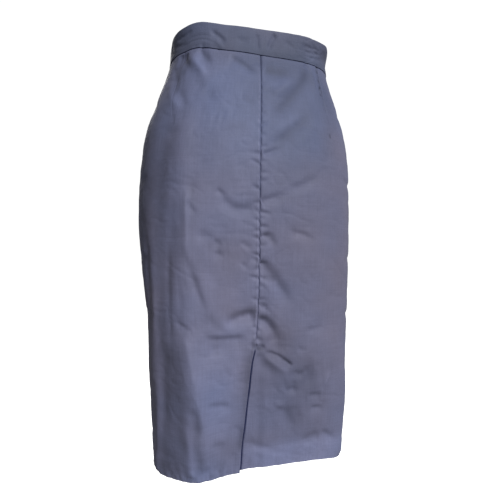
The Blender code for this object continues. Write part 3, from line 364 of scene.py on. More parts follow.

# Washes of painted light and shade (paler) and of tint (warmer): run,
# height, half width and half height in cm, edge (2 soft, 6 fairly sharp),
# how much paler, and how much warmer (below 0 it is bluer).
WASH_COLUMNS = ("run", "height", "half_run", "half_height", "edge", "paler",
                "warmer")
SHADE_AND_TINT_WASHES = (
    (-1.0, 62.0, 26.0, 9.0, 2, -0.07, -0.35),
    (7.4, 58.4, 7.5, 9.0, 2, -0.24, -0.60),
    (12.6, 57.2, 2.2, 5.5, 2, -0.17, -0.10),
    (11.5, 40.0, 4.0, 14.0, 2, -0.07, 0.00),
    (-11.6, 60.4, 1.6, 3.4, 2, 0.05, -0.35),
    (-9.5, 47.5, 4.0, 5.0, 2, -0.02, -0.45),
    (-16.2, 50.0, 3.2, 5.0, 2, -0.10, -0.55),
    (-14.8, 43.4, 3.4, 3.6, 2, -0.09, -0.20),
    (-14.6, 40.0, 4.2, 10.0, 2, -0.05, -0.20),
    (-13.4, 25.0, 2.8, 8.0, 2, -0.10, 0.05),
    (-14.0, 12.0, 3.0, 9.0, 2, -0.14, 0.00),
    (-6.0, 46.0, 5.5, 6.0, 2, -0.09, -0.20),
    (-3.6, 20.8, 3.4, 1.8, 2, 0.07, -0.10),
    (-9.0, 1.0, 2.4, 3.0, 2, 0.12, -0.30),
    (6.0, 33.0, 8.0, 12.0, 2, -0.05, 0.12),
    (5.5, 12.5, 7.0, 7.0, 2, -0.25, -0.05),
    (5.5, 0.8, 9.0, 3.0, 4, 0.32, -0.70),
    (-7.4, 14.0, 3.6, 9.0, 2, 0.04, -0.15),
    (-2.8, 14.6, 1.6, 4.5, 2, -0.04, 0.30),
    (-4.0, 31.0, 3.6, 4.0, 2, -0.03, 0.30),
    (5.4, 35.4, 4.0, 2.4, 2, -0.03, 0.30),
    (-3.4, 23.4, 3.0, 1.3, 2, 0.00, 0.40),
    (-17.2, 33.0, 2.4, 8.0, 2, -0.08, 0.25),
    (12.9, 32.0, 1.6, 9.0, 2, -0.05, 0.35),
    (-1.0, 61.4, 11.0, 1.8, 2, -0.20, -0.20),
    (-1.0, 56.0, 4.5, 5.5, 2, -0.14, -0.36),
    (-7.0, 55.0, 4.0, 6.5, 2, -0.02, -0.50),
    (-6.3, 6.5, 2.2, 2.8, 2, 0.14, -0.10),
    (-1.0, 3.9, 7.0, 1.7, 2, -0.07, 0.00),
    (-0.5, 14.0, 5.0, 5.5, 2, 0.00, 0.65),
    (0.5, 22.5, 6.0, 4.0, 2, 0.00, 0.33),
    (-14.5, 36.0, 3.5, 7.0, 2, 0.00, 0.40),
    (-3.5, 35.0, 3.5, 3.5, 2, 0.00, 0.28),
    (15.5, 32.0, 2.0, 7.0, 2, 0.00, 0.30),
    (-13.0, 14.0, 4.0, 8.0, 2, 0.00, -0.33),
    (7.5, 4.5, 4.0, 3.0, 2, 0.00, -0.30),
    (1.0, 52.0, 14.0, 5.5, 2, 0.00, -0.18),
    (12.5, 51.0, 3.0, 5.5, 2, 0.00, 0.45),
    (-8.5, 17.0, 3.6, 4.0, 2, 0.00, -0.40),
    (2.0, 60.0, 5.0, 2.5, 2, 0.00, -0.28),
    (-14.5, 55.0, 2.5, 5.0, 2, 0.00, -0.22),
    (-16.6, 14.0, 1.6, 4.5, 2, 0.14, 0.00),
    (8.5, 3.6, 3.0, 1.8, 2, -0.10, 0.00),
    (15.5, 36.0, 2.0, 5.0, 2, 0.00, 0.22),
    (-14.4, 32.5, 2.8, 7.0, 2, 0.10, 0.05),
    (-16.2, 26.0, 1.4, 6.0, 2, 0.12, 0.00),
    (-11.0, 65.2, 4.5, 1.5, 2, 0.18, -0.10),
    (2.5, 65.0, 3.4, 1.5, 2, 0.14, 0.00),
    (10.8, 63.4, 2.0, 1.2, 2, 0.20, 0.00),
    (-5.6, 13.5, 3.0, 3.5, 2, 0.09, -0.10),
    (5.0, 47.5, 5.0, 6.0, 2, -0.20, -0.30),
    (10.5, 49.0, 3.0, 7.0, 2, -0.07, 0.00),
    (1.0, 40.0, 5.0, 5.0, 2, -0.09, -0.30),
    (7.5, 39.0, 5.0, 4.0, 2, -0.04, 0.00),
    (-16.4, 40.0, 1.3, 10.0, 2, -0.14, 0.40),
    (-16.3, 22.5, 1.0, 3.5, 2, 0.18, 0.00),
    (3.0, 18.6, 3.0, 3.5, 2, -0.12, 0.60),
    (-4.5, 26.0, 4.0, 3.0, 2, 0.06, 0.30),
    (-6.5, 2.5, 3.5, 2.5, 2, -0.11, 0.00),
    (-13.5, 3.0, 2.5, 4.0, 2, -0.25, -0.10),
    (-14.0, 21.5, 2.0, 4.0, 2, 0.04, -0.30),
    (8.0, 28.0, 5.0, 6.0, 2, -0.04, 0.40),
    (7.0, 19.0, 4.0, 5.0, 2, 0.02, 0.25),
    (-17.0, 40.0, 6.0, 26.0, 2, -0.10, 0.15),
    (17.0, 30.0, 6.0, 30.0, 2, -0.06, 0.25),
    (50.0, 62.0, 24.0, 9.0, 2, -0.07, -0.30),
    (50.0, 24.0, 9.0, 8.0, 2, 0.04, 0.10),
    (38.0, 10.0, 6.0, 8.0, 2, -0.05, 0.20),
    (62.0, 30.0, 6.0, 9.0, 2, -0.04, 0.25),
    (56.0, 2.0, 16.0, 3.0, 2, 0.04, -0.30),
)

# Painted shade and painted highlights, laid out like the creases; depth is percent paler.
PAINTED_SHADES = (
    (10.6, 62.0, 5.1, 56.0, 0.9, 52.0, -18.0, 9.0, 9.0, 0.00, 0.20, 0.30),
    (8.3, 53.8, 4.5, 50.6, 0.6, 47.0, -13.0, 9.0, 9.0, 0.00, 0.30, 0.30),
    (0.4, 60.0, 2.7, 59.8, 6.0, 60.2, -15.0, 8.0, 9.0, 0.00, 0.15, 0.30),
    (0.9, 57.4, 3.0, 57.8, 5.9, 59.0, 8.0, 7.0, 7.0, 0.00, 0.30, 0.30),
    (-10.5, 41.4, -10.4, 34.2, -10.6, 25.0, -10.0, 0.7, 12.0, 0.00, 0.12,
     0.50),
    (-14.6, 18.8, -13.6, 12.0, -12.2, 5.8, -5.0, 10.0, 11.0, 0.00, 0.30, 0.30),
    (-9.8, 9.4, -9.4, 6.0, -9.1, 1.2, -18.0, 4.5, 4.5, 0.00, 0.25, 0.10),
    (-11.0, 8.8, -10.5, 5.4, -10.2, 1.2, 23.0, 4.5, 4.5, 0.00, 0.30, 0.05),
    (3.9, 9.6, 5.2, 7.4, 6.6, 4.8, -12.0, 10.0, 13.0, 0.00, 0.30, 0.30),
    (5.5, 15.4, 7.3, 12.6, 9.2, 9.2, -11.0, 13.0, 13.0, 0.00, 0.30, 0.30),
    (-5.6, 22.6, -3.1, 23.4, -0.5, 24.0, -13.0, 5.0, 6.0, 0.00, 0.40, 0.04),
    (-0.4, 22.6, 1.4, 22.2, 3.1, 18.4, -13.0, 4.5, 8.0, 0.00, 0.04, 0.35),
    (0.1, 30.6, 2.3, 28.8, 5.5, 24.0, -9.0, 5.0, 6.0, 0.00, 0.10, 0.30),
    (-8.5, 20.4, -5.8, 20.2, -1.8, 20.2, -13.0, 1.3, 6.0, 0.00, 0.40, 0.20),
    (-0.8, 18.4, -0.1, 18.0, 0.5, 18.2, -34.0, 2.4, 3.0, 0.00, 0.30, 0.30),
    (-4.6, 39.2, -3.0, 38.8, -1.0, 39.4, -10.0, 5.0, 6.0, 0.00, 0.30, 0.30),
    (-7.0, 34.2, -5.9, 33.0, -4.5, 32.0, -9.0, 12.0, 12.0, 0.00, 0.30, 0.30),
    (-1.3, 17.6, -2.1, 12.2, -3.0, 1.8, -20.0, 1.0, 7.0, 0.00, 0.12, 0.15),
    (-16.0, 61.8, -14.8, 61.2, -13.2, 60.2, -14.0, 6.0, 6.0, 0.00, 0.30, 0.30),
    (-11.4, 62.2, -10.4, 61.2, -9.1, 59.8, -16.0, 5.0, 5.0, 0.00, 0.30, 0.30),
    (-15.2, 61.2, -15.0, 57.8, -12.6, 53.8, -16.0, 7.0, 7.0, 0.00, 0.20, 0.30),
    (-21.0, 58.8, -14.9, 54.8, -12.1, 52.2, 9.0, 5.0, 6.0, 0.00, 0.30, 0.30),
    (-12.9, 61.2, -10.8, 59.4, -8.8, 57.4, 12.0, 5.0, 5.0, 0.00, 0.25, 0.40),
    (-13.6, 52.4, -13.2, 51.2, -13.1, 50.0, -22.0, 1.5, 2.0, 0.00, 0.30, 0.40),
    (11.4, 50.8, 11.5, 50.4, 11.4, 49.8, -34.0, 1.5, 1.5, 0.00, 0.30, 0.30),
    (-11.9, 22.6, -11.0, 21.8, -9.9, 21.0, -6.0, 1.8, 3.0, 0.00, 0.30, 0.40),
    (2.9, 16.6, 4.0, 16.0, 4.9, 15.4, -26.0, 0.9, 1.8, 0.00, 0.40, 0.08),
    (9.9, 4.6, 11.5, 4.0, 14.0, 2.6, -10.0, 4.0, 6.0, 0.00, 0.30, 0.30),
    (1.1, 21.6, 3.7, 20.0, 6.1, 17.6, -5.0, 12.0, 14.0, 0.00, 0.30, 0.30),
    (-11.9, 19.8, -11.5, 16.0, -10.4, 12.6, -11.0, 0.9, 12.0, 0.00, 0.20,
     0.15),
    (-10.6, 13.4, -9.2, 10.0, -8.6, 6.0, -12.0, 0.9, 9.0, 0.00, 0.20, 0.25),
    (-8.6, 7.2, -8.4, 4.2, -8.4, 1.2, -7.0, 0.9, 8.0, 0.00, 0.25, 0.10),
    (-10.0, 11.0, -9.5, 9.2, -8.9, 6.6, -13.0, 6.0, 6.0, 0.00, 0.30, 0.30),
    (-14.6, 18.2, -15.0, 12.0, -14.6, 5.2, -5.0, 7.0, 7.0, 0.00, 0.30, 0.30),
    (-12.8, 41.0, -12.6, 34.6, -12.6, 26.8, 9.0, 7.0, 7.0, 0.00, 0.30, 0.30),
    (-14.8, 45.4, -14.8, 37.6, -15.2, 27.4, -9.0, 9.0, 9.0, 0.00, 0.30, 0.30),
    (-11.5, 32.6, -11.6, 27.6, -11.8, 22.0, 7.0, 5.0, 5.0, 0.00, 0.30, 0.30),
    (-12.5, 36.0, -12.8, 25.4, -12.8, 15.4, -13.0, 2.0, 3.5, 0.00, 0.25, 0.20),
    (6.1, 17.2, 8.1, 14.6, 9.1, 12.4, -5.0, 9.0, 9.0, 0.00, 0.30, 0.30),
    (9.7, 10.8, 10.4, 12.2, 11.0, 13.8, 9.0, 3.0, 3.0, 0.00, 0.30, 0.30),
    (0.5, 22.6, 1.8, 22.0, 2.7, 20.0, -6.0, 5.0, 5.0, 0.00, 0.30, 0.30),
    (0.3, 34.6, 1.5, 34.4, 2.4, 32.6, -13.0, 4.5, 5.5, 0.00, 0.10, 0.30),
    (-8.1, 19.6, -6.5, 19.4, -4.4, 19.6, -8.0, 5.0, 8.0, 0.00, 0.30, 0.35),
    (-1.3, 19.6, -0.9, 19.4, -0.6, 19.2, -16.0, 2.0, 2.0, 0.00, 0.30, 0.30),
    (-0.8, 19.0, -0.5, 19.0, -0.4, 18.8, 10.0, 1.7, 1.7, 0.00, 0.30, 0.30),
    (-6.5, 34.2, -5.8, 33.8, -4.9, 33.4, -3.0, 4.0, 4.0, 0.00, 0.30, 0.30),
    (-6.6, 32.4, -5.9, 32.4, -5.0, 32.4, -3.0, 3.0, 3.0, 0.00, 0.30, 0.30),
    (-1.1, 19.2, -1.3, 18.0, -1.5, 16.8, -18.0, 1.5, 3.0, 0.00, 0.30, 0.30),
    (-13.5, 60.8, -13.6, 59.4, -14.3, 57.8, -13.0, 5.0, 6.0, 0.00, 0.30, 0.30),
    (0.3, 17.8, 1.6, 17.4, 3.1, 16.6, -9.0, 3.0, 4.0, 0.00, 0.30, 0.30),
    (0.4, 17.2, 1.5, 15.4, 3.1, 13.2, -9.0, 6.0, 7.0, 0.00, 0.25, 0.35),
    (6.2, 3.4, 8.1, 3.8, 10.1, 4.4, -8.0, 4.0, 6.0, 0.00, 0.35, 0.30),
    (-2.5, 4.6, 0.4, 3.4, 4.6, 1.8, -5.0, 4.0, 5.0, 0.00, 0.30, 0.40),
    (-8.1, 5.0, -6.6, 5.0, -4.9, 4.0, -10.0, 6.0, 7.0, 0.00, 0.30, 0.30),
    (-5.5, 2.4, -4.5, 2.4, -3.3, 2.6, -7.0, 3.0, 3.0, 0.00, 0.30, 0.30),
    (12.4, 61.8, 12.2, 61.4, 12.2, 61.0, -45.0, 2.2, 2.2, 0.00, 0.25, 0.25),
    (12.1, 60.2, 12.1, 59.8, 12.0, 59.4, -40.0, 2.2, 2.2, 0.00, 0.25, 0.25),
    (12.0, 59.0, 11.9, 58.6, 11.8, 58.2, -30.0, 1.7, 1.7, 0.00, 0.25, 0.25),
    (11.8, 57.8, 11.6, 57.4, 11.6, 57.0, -36.0, 1.8, 1.8, 0.00, 0.25, 0.25),
    (11.5, 61.6, 11.1, 59.4, 10.6, 57.0, 7.0, 3.0, 3.0, 0.00, 0.25, 0.25),
    (-0.8, 16.4, -1.4, 11.4, -2.3, 4.6, 4.0, 4.0, 6.0, 0.00, 0.25, 0.25),
    (-6.2, 61.6, -3.7, 60.6, -0.6, 59.0, -10.0, 4.5, 5.0, 0.00, 0.25, 0.15),
    (-10.5, 56.0, -9.0, 55.0, -7.5, 54.6, -10.0, 5.0, 6.0, 0.00, 0.30, 0.30),
    (-3.6, 55.2, -2.3, 54.6, -0.9, 54.2, -8.0, 5.0, 6.0, 0.00, 0.30, 0.20),
    (-5.6, 50.2, -3.9, 50.4, -2.1, 50.6, -6.0, 5.0, 6.0, 0.00, 0.30, 0.30),
    (-10.8, 54.0, -10.2, 53.2, -9.6, 52.4, 5.0, 6.0, 6.0, 0.00, 0.30, 0.30),
    (0.0, 47.0, 1.4, 47.4, 3.6, 48.2, -9.0, 3.0, 4.0, 0.00, 0.10, 0.50),
    (3.5, 42.0, 6.1, 43.0, 9.1, 44.6, -5.0, 4.0, 5.0, 0.00, 0.35, 0.40),
    (-25.6, 65.0, -17.8, 61.8, -15.9, 61.0, -12.0, 4.0, 4.0, 0.00, 0.30, 0.30),
    (0.3, 28.8, 1.4, 28.6, 2.7, 28.2, -22.0, 4.5, 5.0, 0.00, 0.10, 0.30),
    (0.4, 33.0, 1.1, 32.8, 2.0, 31.6, 6.0, 4.0, 4.0, 0.00, 0.20, 0.30),
    (-0.1, 25.2, 0.8, 25.0, 1.6, 24.0, -8.0, 3.0, 4.0, 0.00, 0.10, 0.40),
    (3.6, 20.4, 7.0, 20.4, 10.9, 20.4, -4.0, 1.5, 1.8, 0.00, 0.30, 0.30),
    (-15.5, 20.4, -11.6, 20.6, -8.9, 20.6, -4.0, 1.5, 1.8, 0.00, 0.30, 0.30),
    (-10.8, 33.8, -10.8, 30.0, -10.5, 25.6, -14.0, 1.6, 2.0, 0.00, 0.20, 0.30),
    (-12.8, 23.0, -12.5, 20.6, -12.4, 18.2, -14.0, 4.0, 5.0, 0.00, 0.30, 0.30),
    (-12.9, 46.6, -12.6, 39.6, -13.1, 30.8, 18.0, 9.0, 9.0, 0.00, 0.30, 0.30),
    (-11.8, 42.4, -11.5, 37.4, -11.6, 31.8, 10.0, 3.5, 3.5, 0.00, 0.30, 0.30),
    (-10.8, 41.2, -10.6, 37.4, -10.6, 33.2, -11.0, 2.0, 2.5, 0.00, 0.30, 0.20),
    (-9.8, 44.4, -9.5, 37.4, -9.8, 30.8, -10.0, 5.0, 6.0, 0.00, 0.30, 0.30),
    (1.6, 50.0, 4.2, 51.6, 7.3, 53.6, 10.0, 7.0, 7.0, 0.00, 0.30, 0.30),
    (-3.1, 18.8, -3.4, 16.4, -4.0, 13.4, 14.0, 7.0, 8.0, 0.00, 0.30, 0.30),
    (-8.0, 24.0, -6.9, 22.4, -5.6, 20.8, -13.0, 6.0, 6.0, 0.00, 0.30, 0.30),
    (-5.4, 32.0, -4.0, 31.8, -2.6, 31.4, -10.0, 5.0, 5.0, 0.00, 0.30, 0.30),
    (-10.0, 31.4, -9.6, 29.2, -8.9, 26.6, -12.0, 3.5, 4.0, 0.00, 0.30, 0.30),
    (-7.8, 30.2, -7.3, 28.4, -6.5, 26.6, 11.0, 6.0, 6.0, 0.00, 0.30, 0.30),
    (0.4, 10.8, 1.6, 9.6, 3.0, 8.8, 12.0, 6.0, 6.0, 0.00, 0.30, 0.30),
    (2.6, 15.0, 3.9, 14.0, 4.9, 12.8, 8.0, 6.0, 6.0, 0.00, 0.30, 0.30),
    (-8.1, 10.8, -6.4, 10.6, -4.5, 10.2, -6.0, 4.0, 3.5, 0.00, 0.30, 0.30),
    (-2.8, 7.2, -3.1, 5.2, -3.4, 3.0, -9.0, 3.0, 4.0, 0.00, 0.30, 0.30),
    (-14.1, 60.8, -13.8, 58.4, -12.8, 55.2, -11.0, 4.0, 3.0, 0.00, 0.30, 0.30),
    (-13.2, 56.6, -11.0, 50.2, -10.5, 44.2, -6.0, 9.0, 9.0, 0.00, 0.30, 0.30),
    (-15.8, 28.2, -16.0, 22.4, -16.1, 15.6, 10.0, 6.0, 6.0, 0.00, 0.30, 0.30),
    (-1.4, 20.2, -1.1, 19.2, -1.1, 17.6, -8.0, 5.0, 5.0, 0.00, 0.30, 0.30),
    (-12.9, 46.6, -12.8, 43.6, -12.8, 40.4, 5.0, 6.0, 6.0, 0.00, 0.30, 0.30),
    (-19.0, 45.2, -18.4, 41.4, -17.6, 36.0, 12.0, 4.0, 4.0, 0.00, 0.30, 0.30),
    (-9.8, 43.0, -9.5, 40.6, -9.5, 38.2, -6.0, 6.0, 6.0, 0.00, 0.30, 0.30),
    (0.1, 19.8, 0.1, 18.4, -0.1, 17.0, -7.0, 5.0, 5.0, 0.00, 0.30, 0.30),
    (0.3, 5.6, 2.3, 5.0, 4.2, 4.6, 6.0, 5.0, 5.0, 0.00, 0.30, 0.30),
    (1.8, 9.0, 3.4, 8.2, 5.0, 8.4, 5.0, 6.0, 6.0, 0.00, 0.30, 0.30),
    (-3.4, 23.4, -1.9, 23.6, -0.4, 23.6, -14.0, 2.6, 2.6, 0.00, 0.50, 0.03),
    (-0.4, 22.6, 0.4, 22.6, 1.3, 22.4, -20.0, 2.8, 3.4, 0.00, 0.03, 0.40),
    (-14.3, 61.4, -14.5, 60.0, -13.8, 57.6, -12.0, 7.0, 8.0, 0.00, 0.25, 0.30),
    (-11.5, 57.4, -10.2, 56.6, -9.1, 55.8, -10.0, 6.0, 6.0, 0.00, 0.30, 0.30),
    (-15.5, 62.2, -15.5, 61.2, -15.4, 59.8, -12.0, 5.0, 5.0, 0.00, 0.30, 0.30),
)

HEM_DEPTH = 0.030          # turned up and caught by hand
ALLOWANCE = 0.015          # seam allowances, pressed open
DART_ALLOWANCE = 0.012
VENT_FACING = 0.040


# ------------------------------------------------------------ basic maths
def ease(t):
    t = np.clip(t, 0.0, 1.0)
    return t * t * (3.0 - 2.0 * t)


def smooth_curve(xs, ys, x):
    """Cubic through the table's points, with centred slopes."""
    xs, ys = np.asarray(xs, float), np.asarray(ys, float)
    slope = np.gradient(ys, xs)
    x = np.clip(np.asarray(x, float), xs[0], xs[-1])
    i = np.clip(np.searchsorted(xs, x) - 1, 0, len(xs) - 2)
    step = xs[i + 1] - xs[i]
    t = (x - xs[i]) / step
    return ((2 * t**3 - 3 * t**2 + 1) * ys[i]
            + (t**3 - 2 * t**2 + t) * step * slope[i]
            + (-2 * t**3 + 3 * t**2) * ys[i + 1]
            + (t**3 - t**2) * step * slope[i + 1])


def wrap(away, full):
    return (away + full / 2.0) % full - full / 2.0


def gradient_noise(u, v, size, seed, period=None):
    """Smooth noise of about -1 to 1; u repeats after period cells."""
    rng = np.random.RandomState(seed)
    turn = rng.uniform(0.0, 2.0 * math.pi, (256, 256))
    a, b = np.asarray(u) / size, np.asarray(v) / size
    i, j = np.floor(a).astype(int), np.floor(b).astype(int)
    fa, fb = a - i, b - j
    wa = fa**3 * (fa * (fa * 6.0 - 15.0) + 10.0)
    wb = fb**3 * (fb * (fb * 6.0 - 15.0) + 10.0)

    def corner(di, dj):
        column = (i + di) % period if period else i + di
        angle = turn[column % 256, (j + dj) % 256]
        return np.cos(angle) * (fa - di) + np.sin(angle) * (fb - dj)

    low = corner(0, 0) + (corner(1, 0) - corner(0, 0)) * wa
    high = corner(0, 1) + (corner(1, 1) - corner(0, 1)) * wa
    return (low + (high - low) * wb) * 1.5


# ---------------------------------------------------- the form of the skirt
class Form:
    """Outer face of the skirt, worked out from the sections once."""

    ROWS = 661
    STEPS = 160
    PER_QUARTER = 400

    def __init__(self):
        rows = sorted(SECTIONS)
        self.heights = np.linspace(0.0, LENGTH, self.ROWS)
        column = {name: [row[i] for row in rows]
                  for i, name in enumerate(SECTION_COLUMNS)}
        read = lambda name: smooth_curve(column["height"], column[name],
                                         self.heights * 100.0)
        width = read("half_width") / 100.0
        boxiness = read("boxiness")
        lean = read("lean") / 100.0
        angle = np.linspace(0.0, math.pi / 2.0, self.STEPS + 1)
        part = np.linspace(0.0, 1.0, self.PER_QUARTER + 1)
        self.length = {}
        quarter = {}
        for side, name in (("back", "back_depth"), ("front", "front_depth")):
            depth = read(name) / 100.0
            n = boxiness[:, None]
            radius = ((np.sin(angle) / width[:, None]) ** n
                      + (np.cos(angle) / depth[:, None]) ** n) ** (-1.0 / n)
            x, y = radius * np.sin(angle), radius * np.cos(angle)
            run = np.concatenate(
                [np.zeros((self.ROWS, 1)),
                 np.cumsum(np.hypot(np.diff(x), np.diff(y)), axis=1)], axis=1)
            self.length[side] = run[:, -1]
            xs = np.array([np.interp(part * r[-1], r, a)
                           for r, a in zip(run, x)])
            ys = np.array([np.interp(part * r[-1], r, a)
                           for r, a in zip(run, y)])
            nx = (xs / width[:, None]) ** (n - 1) / width[:, None]
            ny = (ys / depth[:, None]) ** (n - 1) / depth[:, None]
            size = np.hypot(nx, ny)
            quarter[side] = (xs, ys, nx / size, ny / size)
        bx, by, bnx, bny = quarter["back"]
        gx, gy, gnx, gny = quarter["front"]
        flip = slice(None, None, -1)
        join = lambda a, b, c, d: np.concatenate(
            [a, b[:, flip][:, 1:], c[:, 1:], d[:, flip][:, 1:]], axis=1)
        self.x = join(bx, gx, -gx, -bx) + lean[:, None]
        self.y = join(-by, gy, gy, -by)
        self.nx = join(bnx, gnx, -gnx, -bnx)
        self.ny = join(-bny, gny, gny, -bny)

    def quarter(self, side, height):
        return np.interp(height, self.heights, self.length[side])

    def at(self, place, height):
        a = np.mod(place, 4.0) * self.PER_QUARTER
        b = np.clip(height / LENGTH, 0.0, 1.0) * (self.ROWS - 1)
        i = np.clip(np.floor(a).astype(int), 0, self.x.shape[1] - 2)
        j = np.clip(np.floor(b).astype(int), 0, self.ROWS - 2)
        fa, fb = a - i, b - j
        out = []
        for grid in (self.x, self.y, self.nx, self.ny):
            low = grid[j, i] * (1 - fa) + grid[j, i + 1] * fa
            high = grid[j + 1, i] * (1 - fa) + grid[j + 1, i + 1] * fa
            out.append(low * (1 - fb) + high * fb)
        size = np.hypot(out[2], out[3])
        return out[0], out[1], out[2] / size, out[3] / size


FORM = Form()


def fold_depth(place, height):
    cm = height * 100.0
    total = np.zeros(np.broadcast(place, height).shape)
    for top_place, low_place, top, bottom, half, depth, fade in FOLDS:
        run = ease((top - cm) / (top - bottom))
        away = wrap(place - (top_place + (low_place - top_place) * run), 4.0)
        total += (depth / 1000.0 * np.exp(-(away / half) ** 2)
                  * ease((top + fade - cm) / fade)
                  * ease((cm - bottom + fade) / fade))
    return total


def level(x, y, place, height):
    cm = height * 100.0
    rise = np.zeros(np.broadcast(place, height).shape)
    near_hem = ease((HEM_DIP_REACH - height) / HEM_DIP_REACH)
    for at, half, drop in HEM_DIPS:
        rise -= (drop / 1000.0 * near_hem
                 * np.exp(-(wrap(place - at, 4.0) / half) ** 2))
    for at, half, up in SEAM_RISES:
        rise += (up / 1000.0 * ease((cm - 56.5) / 5.5)
                 * np.exp(-(wrap(place - at, 4.0) / half) ** 2))
    for start, stop, rise_x, rise_y in TILTS:
        share = np.clip((cm - start) / (stop - start), 0.0, 1.0)
        rise += share * (rise_x * x + rise_y * y)
    return rise


def cloth_points(place, height, out):
    """Points of the skirt's face, moved outwards by out."""
    place, height, out = np.broadcast_arrays(place, height, out)
    x, y, nx, ny = FORM.at(place, height)
    raised = level(x, y, place, height)
    push = fold_depth(place, height) + out
    return np.stack([x + nx * push, y + ny * push,
                     height - BAND_MIDDLE + raised], axis=-1)


def place_shift(place, height, distance):
    """The place a distance further round."""
    back = (np.abs(place) < 1.0) | ((np.abs(place) == 1.0)
                                    & (distance * np.sign(place) < 0.0))
    quarter = np.where(back, FORM.quarter("back", height),
                       FORM.quarter("front", height))
    return place + distance / quarter


def back_line(height):
    rows = sorted(BACK_LINE)
    return smooth_curve([r[0] for r in rows], [r[1] for r in rows],
                        np.asarray(height) * 100.0) / 100.0


# ------------------------------------------------------------ the relief
def crease_depth(run, cm, table):
    """Depth of a table of creases, in metres, on a grid of points."""
    total = np.zeros(run.shape)
    t = np.linspace(0.0, 1.0, 25)
    for row in table:
        c = dict(zip(CREASE_COLUMNS, row))
        mid = [2.0 * c[k + "_m"] - 0.5 * (c[k + "_a"] + c[k + "_b"])
               for k in ("run", "height")]
        px = ((1 - t) ** 2 * c["run_a"] + 2 * t * (1 - t) * mid[0]
              + t ** 2 * c["run_b"])
        py = ((1 - t) ** 2 * c["height_a"] + 2 * t * (1 - t) * mid[1]
              + t ** 2 * c["height_b"])
        reach = 0.1 * max(c["left"], c["right"]) * (
            2.6 if c["crisp"] < 0.5 else 4.0)
        centre = 0.5 * (px.min() + px.max())
        away = wrap(run - centre, 100.0)
        near = ((np.abs(away) < 0.5 * (px.max() - px.min()) + reach)
                & (cm > py.min() - reach) & (cm < py.max() + reach))
        if not near.any():
            continue
        u, v = away[near] + centre, cm[near]
        best = np.full(u.shape, 1e9)
        along = np.zeros(u.shape)
        side = np.zeros(u.shape)
        for k in range(len(t) - 1):
            dx, dy = px[k + 1] - px[k], py[k + 1] - py[k]
            size = dx * dx + dy * dy
            s = np.clip(((u - px[k]) * dx + (v - py[k]) * dy) / size, 0, 1)
            ex, ey = u - px[k] - s * dx, v - py[k] - s * dy
            d = ex * ex + ey * ey
            closer = d < best
            best = np.where(closer, d, best)
            along = np.where(closer, t[k] + s * (t[k + 1] - t[k]), along)
            side = np.where(closer, dx * ey - dy * ex, side)
        half = 0.1 * np.where(side > 0.0, c["left"], c["right"])
        d = np.sqrt(best) / half
        soft = np.exp(-d * d)
        sharp = np.exp(-np.sqrt(d * d + 0.02) * 1.25 + 0.177)
        across = soft + (sharp - soft) * c["crisp"]
        # ends die away without a step
        ends = (ease(along / max(c["fade_a"], 0.01))
                * ease((1.0 - along) / max(c["fade_b"], 0.01)))
        total[near] += c["depth"] / 1000.0 * across * ends
    return total


def pucker_depth(place, height):
    """Short dents that start at a seam and run away from it."""
    cm = height * 100.0
    total = np.zeros(place.shape)
    for seam, table in SEAM_PUCKERS:
        line = back_line(height) if seam == 0.0 else 0.0
        quarter = FORM.quarter("back", height)
        away = wrap(place - seam, 4.0) * quarter * 100.0 - line * 100.0
        near = np.abs(away) < 3.0
        if not near.any():
            continue
        a, h = away[near], cm[near]
        part = np.zeros(a.shape)
        for at, side, length, rise, depth, width in table:
            d = a * side
            t = np.clip(d / length, 0.0, 1.0)
            off = (h - at - rise * t) * 10.0
            upper = off > 0.0
            shape = np.exp(-(off / (width * np.where(upper, 0.8, 1.3))) ** 2)
            # deepest just off the seam, none across it
            part += (depth / 1000.0 * shape * ease(d / 0.12)
                     * (1.0 - ease((d - 0.25 * length) / (0.95 * length)))
                     * (d > 0.0))
        total[near] += part
    return total


def dimple_depth(run, cm):
    total = np.zeros(run.shape)
    for at, height, out, radius in DIMPLES:
        d2 = wrap(run - at, 100.0) ** 2 + (cm - height) ** 2
        total += out / 1000.0 * np.exp(-d2 / (radius / 10.0) ** 2)
    return total


def undulation(run, cm):
    """Unevenness of the worn cloth, calmer near the band."""
    calm = 1.0 - 0.35 * ease((cm - 54.0) / 8.0)
    return calm * (
        0.00085 * gradient_noise(run, cm * 0.75, 10.0, 11, 10)
        + 0.00070 * gradient_noise(run, cm * 0.8, 5.0, 12, 20)
        + 0.00045 * gradient_noise(run, cm, 2.5, 13, 40)
        + 0.00016 * gradient_noise(run, cm, 1.25, 14, 80))


def crumple(run, cm):
    """Faint broken creases left by wear, in patches."""
    u = run + 1.3 * gradient_noise(run, cm, 6.25, 41, 16)
    v = cm + 1.3 * gradient_noise(run, cm, 6.25, 42, 16)
    total = 0.0
    for size, period, seed, depth in ((3.125, 32, 43, 0.00055),
                                      (1.5625, 64, 51, 0.00028)):
        # lines where the noise crosses zero, leaning level
        line = np.abs(gradient_noise(u, v * 1.35, size, seed, period))
        where = ease(0.9 * gradient_noise(run, cm, 4.0, seed + 3, 25) + 0.42)
        ridge = np.exp(-(line / 0.16) ** 1.5)
        total = total - depth * where * ridge
    return total


def shade_and_tint_wash(place, height, column):
    """One column of the washes, as a value for each point; paler is painted light and
    shade, warmer is a tint.
    """
    run = wrap(place, 4.0) * 25.0
    cm = height * 100.0
    total = np.zeros(run.shape)
    for row in SHADE_AND_TINT_WASHES:
        c = dict(zip(WASH_COLUMNS, row))
        total += c[column] * np.exp(
            -np.abs(wrap(run - c["run"], 100.0) / c["half_run"]) ** c["edge"]
            - np.abs((cm - c["height"]) / c["half_height"]) ** c["edge"])
    if column == "paler":
        # the painted shade and painted highlight strokes
        total += 10.0 * crease_depth(run, cm, PAINTED_SHADES)
        # mottled painted shade of the hem's small crimps
        hem_crimp_shade = 0.06 + 0.12 * np.exp(-((run + 9.5) / 7.0) ** 2)
        total += (hem_crimp_shade * gradient_noise(run, cm * 0.45, 0.625, 24, 160)
                  * ease((3.0 - cm) / 2.0))
    return total


